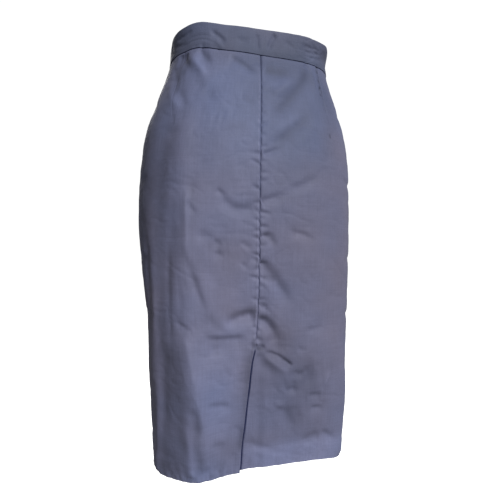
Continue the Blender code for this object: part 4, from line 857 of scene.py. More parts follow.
def relief(place, height, hem=True):
    """All the small shape of the panels, in metres outwards."""
    run = wrap(place, 4.0) * 25.0
    cm = height * 100.0
    total = CREASE_GAIN * crease_depth(run, cm, BACK_CREASES + SIDE_CREASES
                                       + FRONT_CREASES)
    total += PUCKER_GAIN * pucker_depth(place, height)
    total += dimple_depth(run, cm)
    total += undulation(run, cm) + crumple(run, cm)
    if hem:
        # the turned hem is thicker; its top shows as a faint step, with
        # small pricks where the hand stitches catch the face
        wander = 0.10 * gradient_noise(run, cm * 0.0, 5.0, 21, 20)
        total += 0.0011 * ease((3.35 + wander - cm) / 0.95)
        prick = np.cos(run * 2.0 * math.pi / 0.8) ** 8
        total -= 0.00013 * prick * np.exp(-((cm - 3.0) / 0.12) ** 2)
        # short uneven ripples along the pressed edge
        deep = 0.00050 + 0.00075 * np.exp(-((run + 9.5) / 7.0) ** 2)
        total += (deep * gradient_noise(run, cm * 0.45, 1.0, 22, 100)
                  * ease((3.2 - cm) / 3.2))
        total += (0.5 * deep * gradient_noise(run, cm * 0.8, 0.5, 23, 200)
                  * ease((2.6 - cm) / 2.6))
    return total


def seam_groove(distance, depth=0.0012, width=0.0013):
    """The cloth turns in at a stitched seam."""
    d = np.abs(distance) / width
    return -depth * np.exp(-d ** 1.5)


def seam_ridge(distance, height):
    """The left panel rolls over the seam's allowances, crimped by it."""
    cm = height * 100.0
    crimp = 0.62 + 0.38 * gradient_noise(cm * 0.0, cm, 0.55, 61)
    crimp = crimp * (0.35 + 0.65 * ease((49.0 - cm) / 6.0))
    return 0.00080 * crimp * np.exp(-((distance - 0.0034) / 0.0014) ** 2)


def crest_highlight(distance, height):
    """Painted highlight along that roll's crest, paler in dashes."""
    cm = height * 100.0
    dash = ease(0.45 + 0.9 * gradient_noise(cm * 0.0, cm, 0.7, 62))
    return (2.6 * dash * ease((62.0 - cm) / 1.0)
            * np.exp(-((distance - 0.0036) / 0.0007) ** 2))


def fold_round(distance, radius):
    """The rounded edge of folded cloth, distance inwards from the edge."""
    d = np.clip(distance, 0.0, radius)
    return -(radius - np.sqrt(np.clip(radius ** 2 - (radius - d) ** 2,
                                      0.0, None)))


# ------------------------------------------------------------ mesh making
def new_object(name, points, quads, uv=None, extra=()):
    """Mesh object from points and quads; uv is not used."""
    mesh = bpy.data.meshes.new(name)
    mesh.vertices.add(len(points))
    mesh.vertices.foreach_set("co", np.asarray(points, np.float32).ravel())
    quads = np.asarray(quads, np.int32)
    mesh.loops.add(quads.size)
    mesh.loops.foreach_set("vertex_index", quads.ravel())
    mesh.polygons.add(len(quads))
    mesh.polygons.foreach_set(
        "loop_start", np.arange(0, quads.size, 4, dtype=np.int32))
    mesh.update(calc_edges=True)
    mesh.validate()
    mesh.shade_smooth()
    for title, kind, values in extra:
        layer = mesh.attributes.new(title, kind, "POINT")
        layer.data.foreach_set("vector" if kind == "FLOAT_VECTOR" else
                               "value", np.asarray(values, np.float32).ravel())
    made = bpy.data.objects.new(name, mesh)
    bpy.context.scene.collection.objects.link(made)
    return made


def boundary_edges(quads):
    """Directed edges that only one quad uses."""
    quads = np.asarray(quads)
    edges = np.concatenate([quads[:, [k, (k + 1) % 4]] for k in range(4)])
    key = np.sort(edges, axis=1)
    _, inverse, count = np.unique(key, axis=0, return_inverse=True,
                                  return_counts=True)
    return edges[count[inverse.ravel()] == 1]


def shell(name, place, height, outer, inner, quads, extra=()):
    """Closed cloth from two faces over one grid, joined at the rims."""
    n = len(place)
    face = cloth_points(place, height, outer)
    back = cloth_points(place, height, inner)
    quads = np.asarray(quads)
    rim = boundary_edges(quads)
    sides = np.stack([rim[:, 1], rim[:, 0], rim[:, 0] + n, rim[:, 1] + n],
                     axis=1)
    faces = np.concatenate([quads, quads[:, ::-1] + n, sides])
    points = np.concatenate([face, back])
    run = wrap(place, 4.0) * 25.0
    grain = np.stack([place * 0.25, height, np.zeros(n)], axis=1)
    inside = np.concatenate([np.zeros(n), np.ones(n)])
    layers = [("grain", "FLOAT_VECTOR", np.concatenate([grain, grain])),
              ("inside", "FLOAT", inside)]
    # tone carries painted light and shade, warmth a tint
    painted_tone_layers = (("tone", shade_and_tint_wash(place, height, "paler")),
              ("warmth", shade_and_tint_wash(place, height, "warmer")))
    for title, values in (*extra, *painted_tone_layers):
        layers.append((title, "FLOAT", np.concatenate([values, values])))
    made = new_object(name, points, faces, extra=layers)
    made.data.set_sharp_from_angle(angle=math.radians(62.0))
    return made


def grid_quads(index):
    """Quads of a grid of vertex numbers, rows from the top down."""
    return np.stack([index[:-1, :-1], index[1:, :-1], index[1:, 1:],
                     index[:-1, 1:]], axis=-1).reshape(-1, 4)


FINE_EDGE = (0.0, 0.0003, 0.0006, 0.0010, 0.0015, 0.0021, 0.0029, 0.0040,
             0.0055)


def lay_columns(stops, pitch):
    """Distances from the first stop to the last, fine beside each stop."""
    found = []
    for a, b in zip(stops, stops[1:]):
        start = [a + d for d in FINE_EDGE]
        end = [b - d for d in FINE_EDGE]
        count = max(int(round((end[-1] - start[-1]) / pitch)), 2)
        middle = np.linspace(start[-1], end[-1], count + 1)[1:-1]
        found += start + list(middle) + end[::-1]
    unique = [found[0]]
    for value in found[1:]:
        if value - unique[-1] > 1e-6:
            unique.append(value)
    return np.array(unique)


def stretch(columns, stops, ends):
    """Columns laid between stops, stretched to each row's own ends."""
    out = np.zeros((len(ends[0]), len(columns)))
    for k, (a, b) in enumerate(zip(stops, stops[1:])):
        inside = (columns >= a - 1e-9) & (columns <= b + 1e-9)
        share = (columns[inside] - a) / (b - a)
        out[:, inside] = (ends[k][:, None] * (1 - share)
                          + ends[k + 1][:, None] * share)
    return out


def lay_rows(pitch):
    top = BAND_SEAM - SEAM_GAP / 2.0
    first = [top + 0.0012] + [top - d for d in (0.0, 0.0003, 0.0006, 0.0010, 0.0015, 0.0022,
                               0.0032, 0.0046)]
    last = [0.0038, 0.0024, 0.0014, 0.0008, 0.0004, 0.00015, 0.0]
    upper = np.linspace(first[-1], VENT_HEIGHT,
                        int((first[-1] - VENT_HEIGHT) / pitch) + 1)[1:]
    lower = np.linspace(VENT_HEIGHT, last[0],
                        int((VENT_HEIGHT - last[0]) / pitch) + 1)[1:-1]
    return np.concatenate([first, upper, lower, last])


def dart_place(dart, height):
    top, middle, point, tip = dart
    cm = height * 100.0
    return smooth_curve([tip, 0.5 * (tip + 62.3), 62.3],
                        [point, middle, top], np.clip(cm, tip, 62.3))


def dart_relief(distance, height, tip, share=1.0):
    """A sewn dart: a thin dent, a slight step, gone at the point."""
    cm = height * 100.0
    strength = ease((cm - tip) / 4.0)
    return share * strength * (seam_groove(distance, 0.0008, 0.0011)
                       - 0.00035 * np.exp(-(distance / 0.006) ** 2))


def panel_thickness(to_seams, height, hem_in, extra_thick=0.0):
    """Wall with its allowances pressed open and its hem turned up."""
    thick = np.full(height.shape, 0.00105)
    step = lambda d, edge: ease((edge - d) / 0.0012)
    for distance, wide in to_seams:
        thick = thick + 0.00055 * step(np.abs(distance), wide)
    thick = thick + hem_in * 0.00065 * step(height, HEM_DEPTH)
    top = BAND_SEAM - height
    thick = thick + 0.0005 * step(top, 0.012)
    return thick + extra_thick


def hem_roll(height, outer, inner):
    """Both faces close round the folded hem."""
    radius = 0.5 * (outer - inner)
    d = np.clip(height, 0.0, radius)
    bend = radius - np.sqrt(np.clip(radius ** 2 - (radius - d) ** 2, 0, None))
    bend = np.where(height < radius, bend * 0.96, 0.0)
    return outer - bend, inner + bend


def top_tuck(height):
    """The panel's top turns in and runs up into the band."""
    d = (BAND_SEAM - height) / 0.0012
    return -0.0004 * np.exp(-np.clip(d, 0, None) ** 1.6)


def dart_strength(height, tip):
    """The dart's painted shade line shows in dashes and is lost well above the dart's
    point.
    """
    cm = height * 100.0
    broken = ease(0.55 + 0.9 * gradient_noise(cm * 0.0 + tip, cm, 1.5, 63))
    return (0.25 + 0.60 * broken) * ease((cm - tip - 2.5) / 5.0)


def painted_seam_shade(lines, height):
    """Painted shade where the cloth dives into a stitched line and along the band's seam,
    for the material.
    """
    shade = 1.1 * np.exp(-((BAND_SEAM - height) / 0.0006) ** 2)
    for distance, strength in lines:
        shade = np.maximum(
            shade, strength * np.exp(-(distance / 0.00048) ** 2))
    return shade


def tack_gap(height):
    """1 apart from the tacked stretch, where the seam's line is lost."""
    return 1.0 - np.exp(-((height - 0.1890) / 0.0075) ** 4)


def edge_wear(*distances):
    """Paler along folded edges and seams, for the material."""
    wear_and_highlight = 0.0
    for d, reach in distances:
        wear_and_highlight = np.maximum(wear_and_highlight, np.exp(-np.abs(d) / reach))
    return wear_and_highlight


PITCH = 0.0021
FRONT_PITCH = 0.0029


def build_back_left():
    rows = lay_rows(PITCH)
    stops = [0.0, 0.095, 0.2485]
    columns = lay_columns(stops, PITCH)
    quarter = FORM.quarter("back", rows)
    edge = back_line(rows) - 0.00005
    edge = np.where(rows < VENT_HEIGHT, back_line(rows), edge)
    start = -quarter - 0.00015
    dart = dart_place(BACK_LEFT_DART, rows) * quarter
    arc = stretch(columns, stops, [start, dart, edge])
    height = np.repeat(rows[:, None], arc.shape[1], axis=1)
    place = arc / quarter[:, None]
    to_side = arc - start[:, None]
    to_dart = arc - dart[:, None]
    to_edge = edge[:, None] - arc
    out = relief(place, height)
    stitched = ease((height - VENT_HEIGHT + 0.001) / 0.004)
    out += seam_groove(to_side) + seam_groove(to_edge) * stitched
    out += seam_ridge(to_edge, height) * stitched
    out += dart_relief(to_dart, height, BACK_LEFT_DART[3], 0.4)
    out += top_tuck(height)
    # the overlap's edge stands open towards the hem
    swing = ease((0.150 - height) / 0.150)
    out += 0.0030 * swing * np.exp(-to_edge / 0.020)
    out += 0.0016 * (1 - stitched) * np.exp(-to_edge / 0.007)
    thick = panel_thickness(
        ((to_side, ALLOWANCE), (to_edge, ALLOWANCE),
         (to_dart, 0.5 * DART_ALLOWANCE * 1.0)), height, 1.0)
    facing = ease((VENT_FACING - to_edge) / 0.0012) * ease(
        (VENT_HEIGHT + 0.02 - height) / 0.0015)
    thick = thick + 0.00045 * facing * (to_edge > ALLOWANCE)
    # the dart's allowance shows only where there is a dart
    beyond = height * 100.0 < BACK_LEFT_DART[3] + 0.5
    thick = np.where(beyond & (np.abs(to_dart) < 0.010),
                     np.minimum(thick, 0.00105 + 0.00065 * ease(
                         (HEM_DEPTH - height) / 0.0012)), thick)
    inner = out - thick
    radius = 0.5 * thick
    bend = fold_round(np.clip(to_edge, 0, None), radius) * (1 - stitched)
    outer, inner = out + bend * 0.95, inner - bend * 0.95
    outer, inner = hem_roll(height, outer, inner)
    index = np.arange(arc.size).reshape(arc.shape)
    wear_and_highlight = np.maximum(edge_wear((to_edge - 0.0012, 0.0018))
                      * (1 - stitched) * 0.1, edge_wear((height, 0.0025)))
    # painted highlight on the crest of the roll beside the centre back seam
    wear_and_highlight = np.maximum(wear_and_highlight, crest_highlight(to_edge, height) * stitched)
    # painted shade along the seams, the vent's edge and the dart
    seam = painted_seam_shade(((to_edge, np.maximum(stitched, 0.75)
                          * tack_gap(height)),
                         (to_side, 1.0),
                         (to_dart, 0.6 * dart_strength(
                             height, BACK_LEFT_DART[3]))),
                        height)
    made = shell("back_left_cloth", place.ravel(), height.ravel(),
                 outer.ravel(), inner.ravel(), grid_quads(index),
                 extra=(("wear_and_highlight", wear_and_highlight.ravel()), ("seam", seam.ravel())))
    return made


def underlap_depth(distance):
    sunk = CLOTH + SEAM_GAP + 0.0006
    return -sunk * ease((0.016 - distance) / 0.014)


def build_back_right():
    rows = lay_rows(PITCH)
    stops = [0.0, 0.118, 0.2485]
    columns = lay_columns(stops, PITCH)
    quarter = FORM.quarter("back", rows)
    line = back_line(np.maximum(rows, VENT_HEIGHT)) + 0.00005
    end = quarter + 0.00015
    dart = dart_place(BACK_RIGHT_DART, rows) * quarter
    arc = stretch(columns, stops, [line, dart, end])
    height = np.repeat(rows[:, None], arc.shape[1], axis=1)
    place = arc / quarter[:, None]
    to_line = arc - line[:, None]
    below = ease((VENT_HEIGHT + 0.020 - height) / 0.019)
    stitched = ease((height - VENT_HEIGHT + 0.001) / 0.004)
    out = relief(place, height)
    out += (seam_groove(end[:, None] - arc)
            + seam_groove(to_line) * stitched)
    out += dart_relief(arc - dart[:, None], height, BACK_RIGHT_DART[3])
    out += top_tuck(height) + below * underlap_depth(to_line)
    thick = panel_thickness(
        ((end[:, None] - arc, ALLOWANCE),
         (np.where(height > VENT_HEIGHT, to_line, 1.0), ALLOWANCE),
         (arc - dart[:, None], 0.5 * DART_ALLOWANCE)), height, 1.0)
    beyond = height * 100.0 < BACK_RIGHT_DART[3] + 0.5
    thick = np.where(beyond & (np.abs(arc - dart[:, None]) < 0.010),
                     np.minimum(thick, 0.00105 + 0.00065 * ease(
                         (HEM_DEPTH - height) / 0.0012)), thick)
    first = arc.size
    index = np.arange(first).reshape(arc.shape)
    # the underlap, cut in one, below the vent's top
    start = int(np.argmin(np.abs(rows - VENT_HEIGHT)))
    deep = rows[start:]
    lap_line = back_line(VENT_HEIGHT) + 0.00005
    lap_stops = [0.0, 0.031, UNDERLAP_WIDTH]
    lap_columns = lay_columns(lap_stops, PITCH)[:-1]
    reach = np.zeros(deep.shape)
    for _ in range(6):
        level_there = deep / VENT_HEIGHT * (VENT_HEIGHT
                                            - reach * UNDERLAP_SLANT)
        reach = np.maximum(lap_line - back_line(level_there), 0.0016)
    out_by = UNDERLAP_WIDTH - stretch(
        lap_columns, lap_stops, [0.0 * reach, UNDERLAP_WIDTH - reach,
                                 0.0 * reach + UNDERLAP_WIDTH])
    lap_height = deep[:, None] / VENT_HEIGHT * (VENT_HEIGHT
                                                - out_by * UNDERLAP_SLANT)
    lap_quarter = FORM.quarter("back", lap_height)
    lap_place = (lap_line - out_by) / lap_quarter
    in_line = out_by - reach[:, None]
    lap_out = relief(lap_place, lap_height) + underlap_depth(0.0)
    # it lies smoother than the face that covers it
    calm = ease(out_by / 0.02)
    lap_out = lap_out - 0.0010 * calm
    lap_index = first + np.arange(lap_place.size).reshape(lap_place.shape)
    joined = np.concatenate([lap_index, index[start:, :1]], axis=1)
    lap_thick = panel_thickness((), lap_height, 1.0)
    edge_turn = ease((0.008 - (UNDERLAP_WIDTH - out_by)) / 0.0012)
    lap_thick = lap_thick + 0.00045 * edge_turn
    radius = 0.5 * lap_thick
    bend = fold_round(UNDERLAP_WIDTH - out_by, radius)
    places = np.concatenate([place.ravel(), lap_place.ravel()])
    heights = np.concatenate([height.ravel(), lap_height.ravel()])
    outer, inner = hem_roll(height, out, out - thick)
    lap_outer, lap_inner = hem_roll(
        lap_height, lap_out + bend * 0.95, lap_out - lap_thick - bend * 0.95)
    quads = np.concatenate([grid_quads(index), grid_quads(joined)])
    wear_and_highlight = np.concatenate([
        edge_wear((height, 0.0025)).ravel(),
        edge_wear((UNDERLAP_WIDTH - out_by, 0.002)).ravel()])
    # painted shade along the seams and the dart
    seam = painted_seam_shade(((to_line, stitched * tack_gap(height)),
                         (end[:, None] - arc, 1.0),
                         (arc - dart[:, None],
                          dart_strength(height, BACK_RIGHT_DART[3]))),
                        height)
    # under the overlap's edge it is in shade
    gap = 0.0037 + 0.0007 * ease((0.150 - lap_height) / 0.150)
    lap_shade = ease((in_line + gap + 0.0005) / 0.0010) * ease(
        (0.030 - in_line) / 0.02) * ease((0.1800 - lap_height) / 0.002)
    seam = np.concatenate([seam.ravel(), 1.1 * lap_shade.ravel()])
    return shell("back_right_cloth", places, heights,
                 np.concatenate([outer.ravel(), lap_outer.ravel()]),
                 np.concatenate([inner.ravel(), lap_inner.ravel()]),
                 quads, extra=(("wear_and_highlight", wear_and_highlight), ("seam", seam)))


def build_front():
    rows = lay_rows(FRONT_PITCH)
    stops = [0.0, 0.126, 0.371, 0.497]
    columns = lay_columns(stops, FRONT_PITCH)
    quarter = FORM.quarter("front", rows)
    darts = [(dart_place(d, rows) - 1.0) * quarter for d in FRONT_DARTS]
    start = np.full(rows.shape, -0.00015)
    end = 2.0 * quarter + 0.00015
    arc = stretch(columns, stops, [start, darts[0], darts[1], end])
    height = np.repeat(rows[:, None], arc.shape[1], axis=1)
    place = 1.0 + arc / quarter[:, None]
    out = relief(place, height)
    out += seam_groove(arc) + seam_groove(end[:, None] - arc)
    out += top_tuck(height)
    near = []
    for line, dart in zip(darts, FRONT_DARTS):
        out += dart_relief(arc - line[:, None], height, dart[3])
        gap = np.where(height * 100.0 > dart[3] + 0.5,
                       arc - line[:, None], 1.0)
        near.append((gap, 0.5 * DART_ALLOWANCE))
    thick = panel_thickness(((arc, ALLOWANCE),
                             (end[:, None] - arc, ALLOWANCE), *near),
                            height, 1.0)
    outer, inner = hem_roll(height, out, out - thick)
    index = np.arange(arc.size).reshape(arc.shape)
    wear_and_highlight = edge_wear((height, 0.0025))
    # painted shade along the side seams and the darts
    seam = painted_seam_shade(
        ((arc, 1.0), (end[:, None] - arc, 1.0),
         *((arc - line[:, None], dart_strength(height, dart[3]))
           for line, dart in zip(darts, FRONT_DARTS))), height)
    return shell("front_cloth", place.ravel(), height.ravel(), outer.ravel(),
                 inner.ravel(), grid_quads(index),
                 extra=(("wear_and_highlight", wear_and_highlight.ravel()), ("seam", seam.ravel())))


def band_end(height, towards):
    spread = 0.0011 * ease((height - (LENGTH - 0.014)) / 0.006)
    return place_shift(1.0, height, towards * (0.00008 + spread))


def build_waistband():
    low = BAND_SEAM + 0.00010
    fine = (0.0, 0.0002, 0.0005, 0.0009, 0.0014, 0.0021)
    top = [LENGTH - d for d in fine]
    bottom = [low + d for d in fine]
    rows = np.concatenate([
        top, np.linspace(top[-1], bottom[-1], 26)[1:-1], bottom[::-1]])
    first = band_end(rows, 1.0)
    last = 4.0 + band_end(rows, -1.0)
    share = np.concatenate([
        np.array([0.0, 0.0002, 0.0005, 0.0009, 0.0014, 0.0021]) / 0.786,
        np.linspace(0.0033 / 0.786, 1 - 0.0033 / 0.786, 520),
        1 - np.array([0.0021, 0.0014, 0.0009, 0.0005, 0.0002, 0.0]) / 0.786])
    place = first[:, None] * (1 - share) + last[:, None] * share
    height = np.repeat(rows[:, None], len(share), axis=1)
    run = wrap(place, 4.0) * 25.0
    cm = height * 100.0
    out = 1.35 * crease_depth(run, cm, BAND_CREASES)
    out += (0.00045 * gradient_noise(run, cm, 5.0, 31, 20)
            + 0.00022 * gradient_noise(run, cm, 2.5, 32, 40)
            + 0.00010 * gradient_noise(run, cm * 1.2, 1.25, 33, 80)
            + 0.00005 * gradient_noise(run * 0.5, cm * 2.4, 0.625, 34, 80))
    # crumpled where it turns round the sides
    ends = (np.exp(-((run - 11.5) / 4.0) ** 2)
            + 0.18 * np.exp(-((run + 17.0) / 6.0) ** 2)
            + 0.5 * np.exp(-(wrap(run - 36.0, 100.0) / 5.0) ** 2)
            + 0.5 * np.exp(-(wrap(run - 64.0, 100.0) / 5.0) ** 2))
    line = np.abs(gradient_noise(
        run + 0.6 * gradient_noise(run, cm, 1.25, 36, 80), cm * 2.1, 1.5625,
        35, 64))
    out += ends * (0.00035 - 0.00085 * np.exp(-(line / 0.16) ** 1.4))
    out += 0.0024 * (np.exp(-((run - 14.4) / 2.0) ** 2)
                     * ease((cm - 64.2) / 1.6))
    out -= 0.0030 * (np.exp(-((run - 15.8) / 3.0) ** 2)
                     * np.exp(-((cm - 64.2) / 0.9) ** 2))
    out += BAND_PROUD + 0.0001
    thick = np.full(out.shape, 0.0029)
    # its sewn edge follows the panels it is sewn to
    sewn = np.full(out.shape, BAND_SEAM)
    out += relief(place, sewn) * ease((0.010 - (height - low)) / 0.010)
    # the seam's allowances lie inside the band's lower part
    out += 0.00030 * np.exp(-((cm - 63.0) / 0.55) ** 2)
    d_ends = np.minimum(share, 1 - share)[None, :] * 0.786
    radius = 0.0013
    d_top = LENGTH - height
    d_low = height - low
    bend = (fold_round(d_top, radius) + 0.45 * fold_round(d_low, radius)
            + 0.8 * fold_round(d_ends + 0 * height, radius))
    bend = np.maximum(bend, -0.00140)
    wear_and_highlight = 0.5 * edge_wear((d_top - 0.0012, 0.0012), (d_low, 0.0010))
    # its top edge isn't quite even
    lift = ease((height - BAND_SEAM) / BAND_HEIGHT) * (
        0.00040 * gradient_noise(run, run * 0.0, 5.0, 37, 20)
        + 0.00022 * gradient_noise(run, run * 0.0, 2.0, 38, 50)
        + 0.0019 * np.exp(-((run - 9.5) / 5.0) ** 2)
        + 0.0018 * np.exp(-((run - 2.2) / 7.0) ** 2)
        + 0.0014 * np.exp(-((run - 15.6) / 2.0) ** 2))
    height = height + lift
    index = np.arange(place.size).reshape(place.shape)
    # painted shade along the band's sewn lower edge, fainter along its top edge
    return shell("waistband_cloth", place.ravel(), height.ravel(),
                 (out + bend).ravel(), (out - thick - bend).ravel(),
                 grid_quads(index),
                 extra=(("wear_and_highlight", wear_and_highlight.ravel()),
                        ("seam", np.maximum(
                       0.8 * np.exp(-(d_low / 0.0005) ** 2),
                       0.4 * np.exp(-(d_top / 0.0006) ** 2)).ravel())))


def build_zip():
    """The two tapes, closed, with the coil between them."""
    rows = np.linspace(ZIP_TOP, ZIP_TOP - ZIP_LENGTH, 120)
    behind_panel = -(CLOTH + SEAM_GAP + ZIP_CLEAR)
    behind_band = BAND_PROUD - BAND_CLOTH - SEAM_GAP
    share = ease((rows - (BAND_SEAM - 0.010)) / 0.008)
    depth = behind_panel + (behind_band - behind_panel) * share
    across = np.linspace(-ZIP_WIDTH / 2, ZIP_WIDTH / 2, 33)
    height = np.repeat(rows[:, None], len(across), axis=1)
    quarter = np.where(across[None, :] < 0, FORM.quarter("back", height),
                       FORM.quarter("front", height))
    place = 1.0 + across[None, :] / quarter
    # the woven edge ridge and the crease that hides the coil
    ridge = (0.00012 * np.exp(-((np.abs(across) - 0.0112) / 0.0005) ** 2)
             - 0.00020 * np.exp(-(across / 0.0008) ** 2))
    out = depth[:, None] - 0.00012 + ridge[None, :] + 0 * height
    inner = out - 0.00055
    index = np.arange(place.size).reshape(place.shape)
    tape = shell("zip_tapes", place.ravel(), height.ravel(), out.ravel(),
                 inner.ravel(), grid_quads(index),
                 extra=(("wear_and_highlight", np.zeros(place.size)),))
    # coil teeth below the slider, a small arch for each turn
    bm = bmesh.new()
    pitch = 0.0013
    start = LENGTH - 0.0158
    count = int((start - (ZIP_TOP - ZIP_LENGTH + 0.012)) / pitch)
    ring = 6
    for k in range(count):
        h = start - k * pitch
        share_h = float(ease((h - (BAND_SEAM - 0.010)) / 0.008))
        base = behind_panel + (behind_band - behind_panel) * share_h - 0.0007
        path = []
        for m in range(5):
            a = math.pi * m / 4.0
            across_m = 0.0016 * math.cos(a)
            rise = 0.0010 * math.sin(a)
            side = "back" if across_m < 0 else "front"
            p = 1.0 + across_m / float(FORM.quarter(side, h))
            point = cloth_points(np.array([p]), np.array([h]),
                                 np.array([base - rise]))[0]
            path.append(Vector(point))
        previous = None
        for m, centre in enumerate(path):
            a = math.pi * m / 4.0
            normal = Vector((0.0, math.cos(a), 0.0)) + Vector(
                (-math.sin(a), 0.0, 0.0))
            normal.normalize()
            up = Vector((0.0, 0.0, 1.0))
            loop = [bm.verts.new(centre + 0.00034 * (
                normal * math.cos(b) + up * math.sin(b)))
                for b in [2 * math.pi * q / ring for q in range(ring)]]
            if previous:
                for q in range(ring):
                    bm.faces.new((previous[q], previous[(q + 1) % ring],
                                  loop[(q + 1) % ring], loop[q]))
            else:
                bm.faces.new(loop[::-1])
            previous = loop
        bm.faces.new(previous)
    # the bottom stop
    low = start - count * pitch - 0.0012
    for dz in (0.0,):
        made = bmesh.ops.create_cube(bm, size=1.0)
        centre = cloth_points(np.array([1.0]), np.array([low]),
                              np.array([behind_panel - 0.0012]))[0]
        for vert in made["verts"]:
            vert.co = Vector((vert.co.x * 0.0012 + centre[0],
                              vert.co.y * 0.0046 + centre[1],
                              vert.co.z * 0.0032 + centre[2]))
    bmesh.ops.recalc_face_normals(bm, faces=bm.faces)
    mesh = bpy.data.meshes.new("zip_coil")
    bm.to_mesh(mesh)
    bm.free()
    mesh.shade_smooth()
    coil = bpy.data.objects.new("zip_coil", mesh)
    bpy.context.scene.collection.objects.link(coil)
    return tape, coil


# -------------------------------------------------------------- materials
class Nodes:
    """Small helper that lays and links shader nodes."""

    def __init__(self, name):
        self.material = bpy.data.materials.new(name)
        self.material.use_nodes = True
        self.tree = self.material.node_tree
        self.shader = self.tree.nodes["Principled BSDF"]

    def add(self, kind, **values):
        node = self.tree.nodes.new(kind)
        for key, value in values.items():
            if key.startswith("in_"):
                node.inputs[int(key[3:])].default_value = value
            else:
                setattr(node, key, value)
        return node

    def link(self, source, target):
        self.tree.links.new(source, target)

    def maths(self, operation, a, b=None, clamp=False):
        node = self.add("ShaderNodeMath", operation=operation)
        node.use_clamp = clamp
        for k, value in enumerate((a, b)):
            if value is None:
                continue
            if isinstance(value, (int, float)):
                node.inputs[k].default_value = value
            else:
                self.link(value, node.inputs[k])
        return node.outputs[0]

    def mix(self, factor, a, b, blend="MIX"):
        node = self.add("ShaderNodeMix", data_type="RGBA", blend_type=blend)
        for k, value in ((0, factor), (6, a), (7, b)):
            if isinstance(value, (int, float)):
                node.inputs[k].default_value = value
            elif isinstance(value, tuple):
                node.inputs[k].default_value = (*value, 1.0)
            else:
                self.link(value, node.inputs[k])
        return node.outputs[2]

    def noise(self, vector, scale, detail=2.0, rough=0.5):
        node = self.add("ShaderNodeTexNoise")
        node.inputs["Scale"].default_value = scale
        node.inputs["Detail"].default_value = detail
        node.inputs["Roughness"].default_value = rough
        self.link(vector, node.inputs["Vector"])
        return node.outputs["Fac"]

    def attribute(self, name, output="Vector"):
        node = self.add("ShaderNodeAttribute", attribute_name=name)
        return node.outputs[output]

    def scaled(self, vector, scale, turn=0.0):
        node = self.add("ShaderNodeMapping")
        node.inputs["Scale"].default_value = scale
        node.inputs["Rotation"].default_value = (0.0, 0.0, turn)
        self.link(vector, node.inputs["Vector"])
        return node.outputs["Vector"]


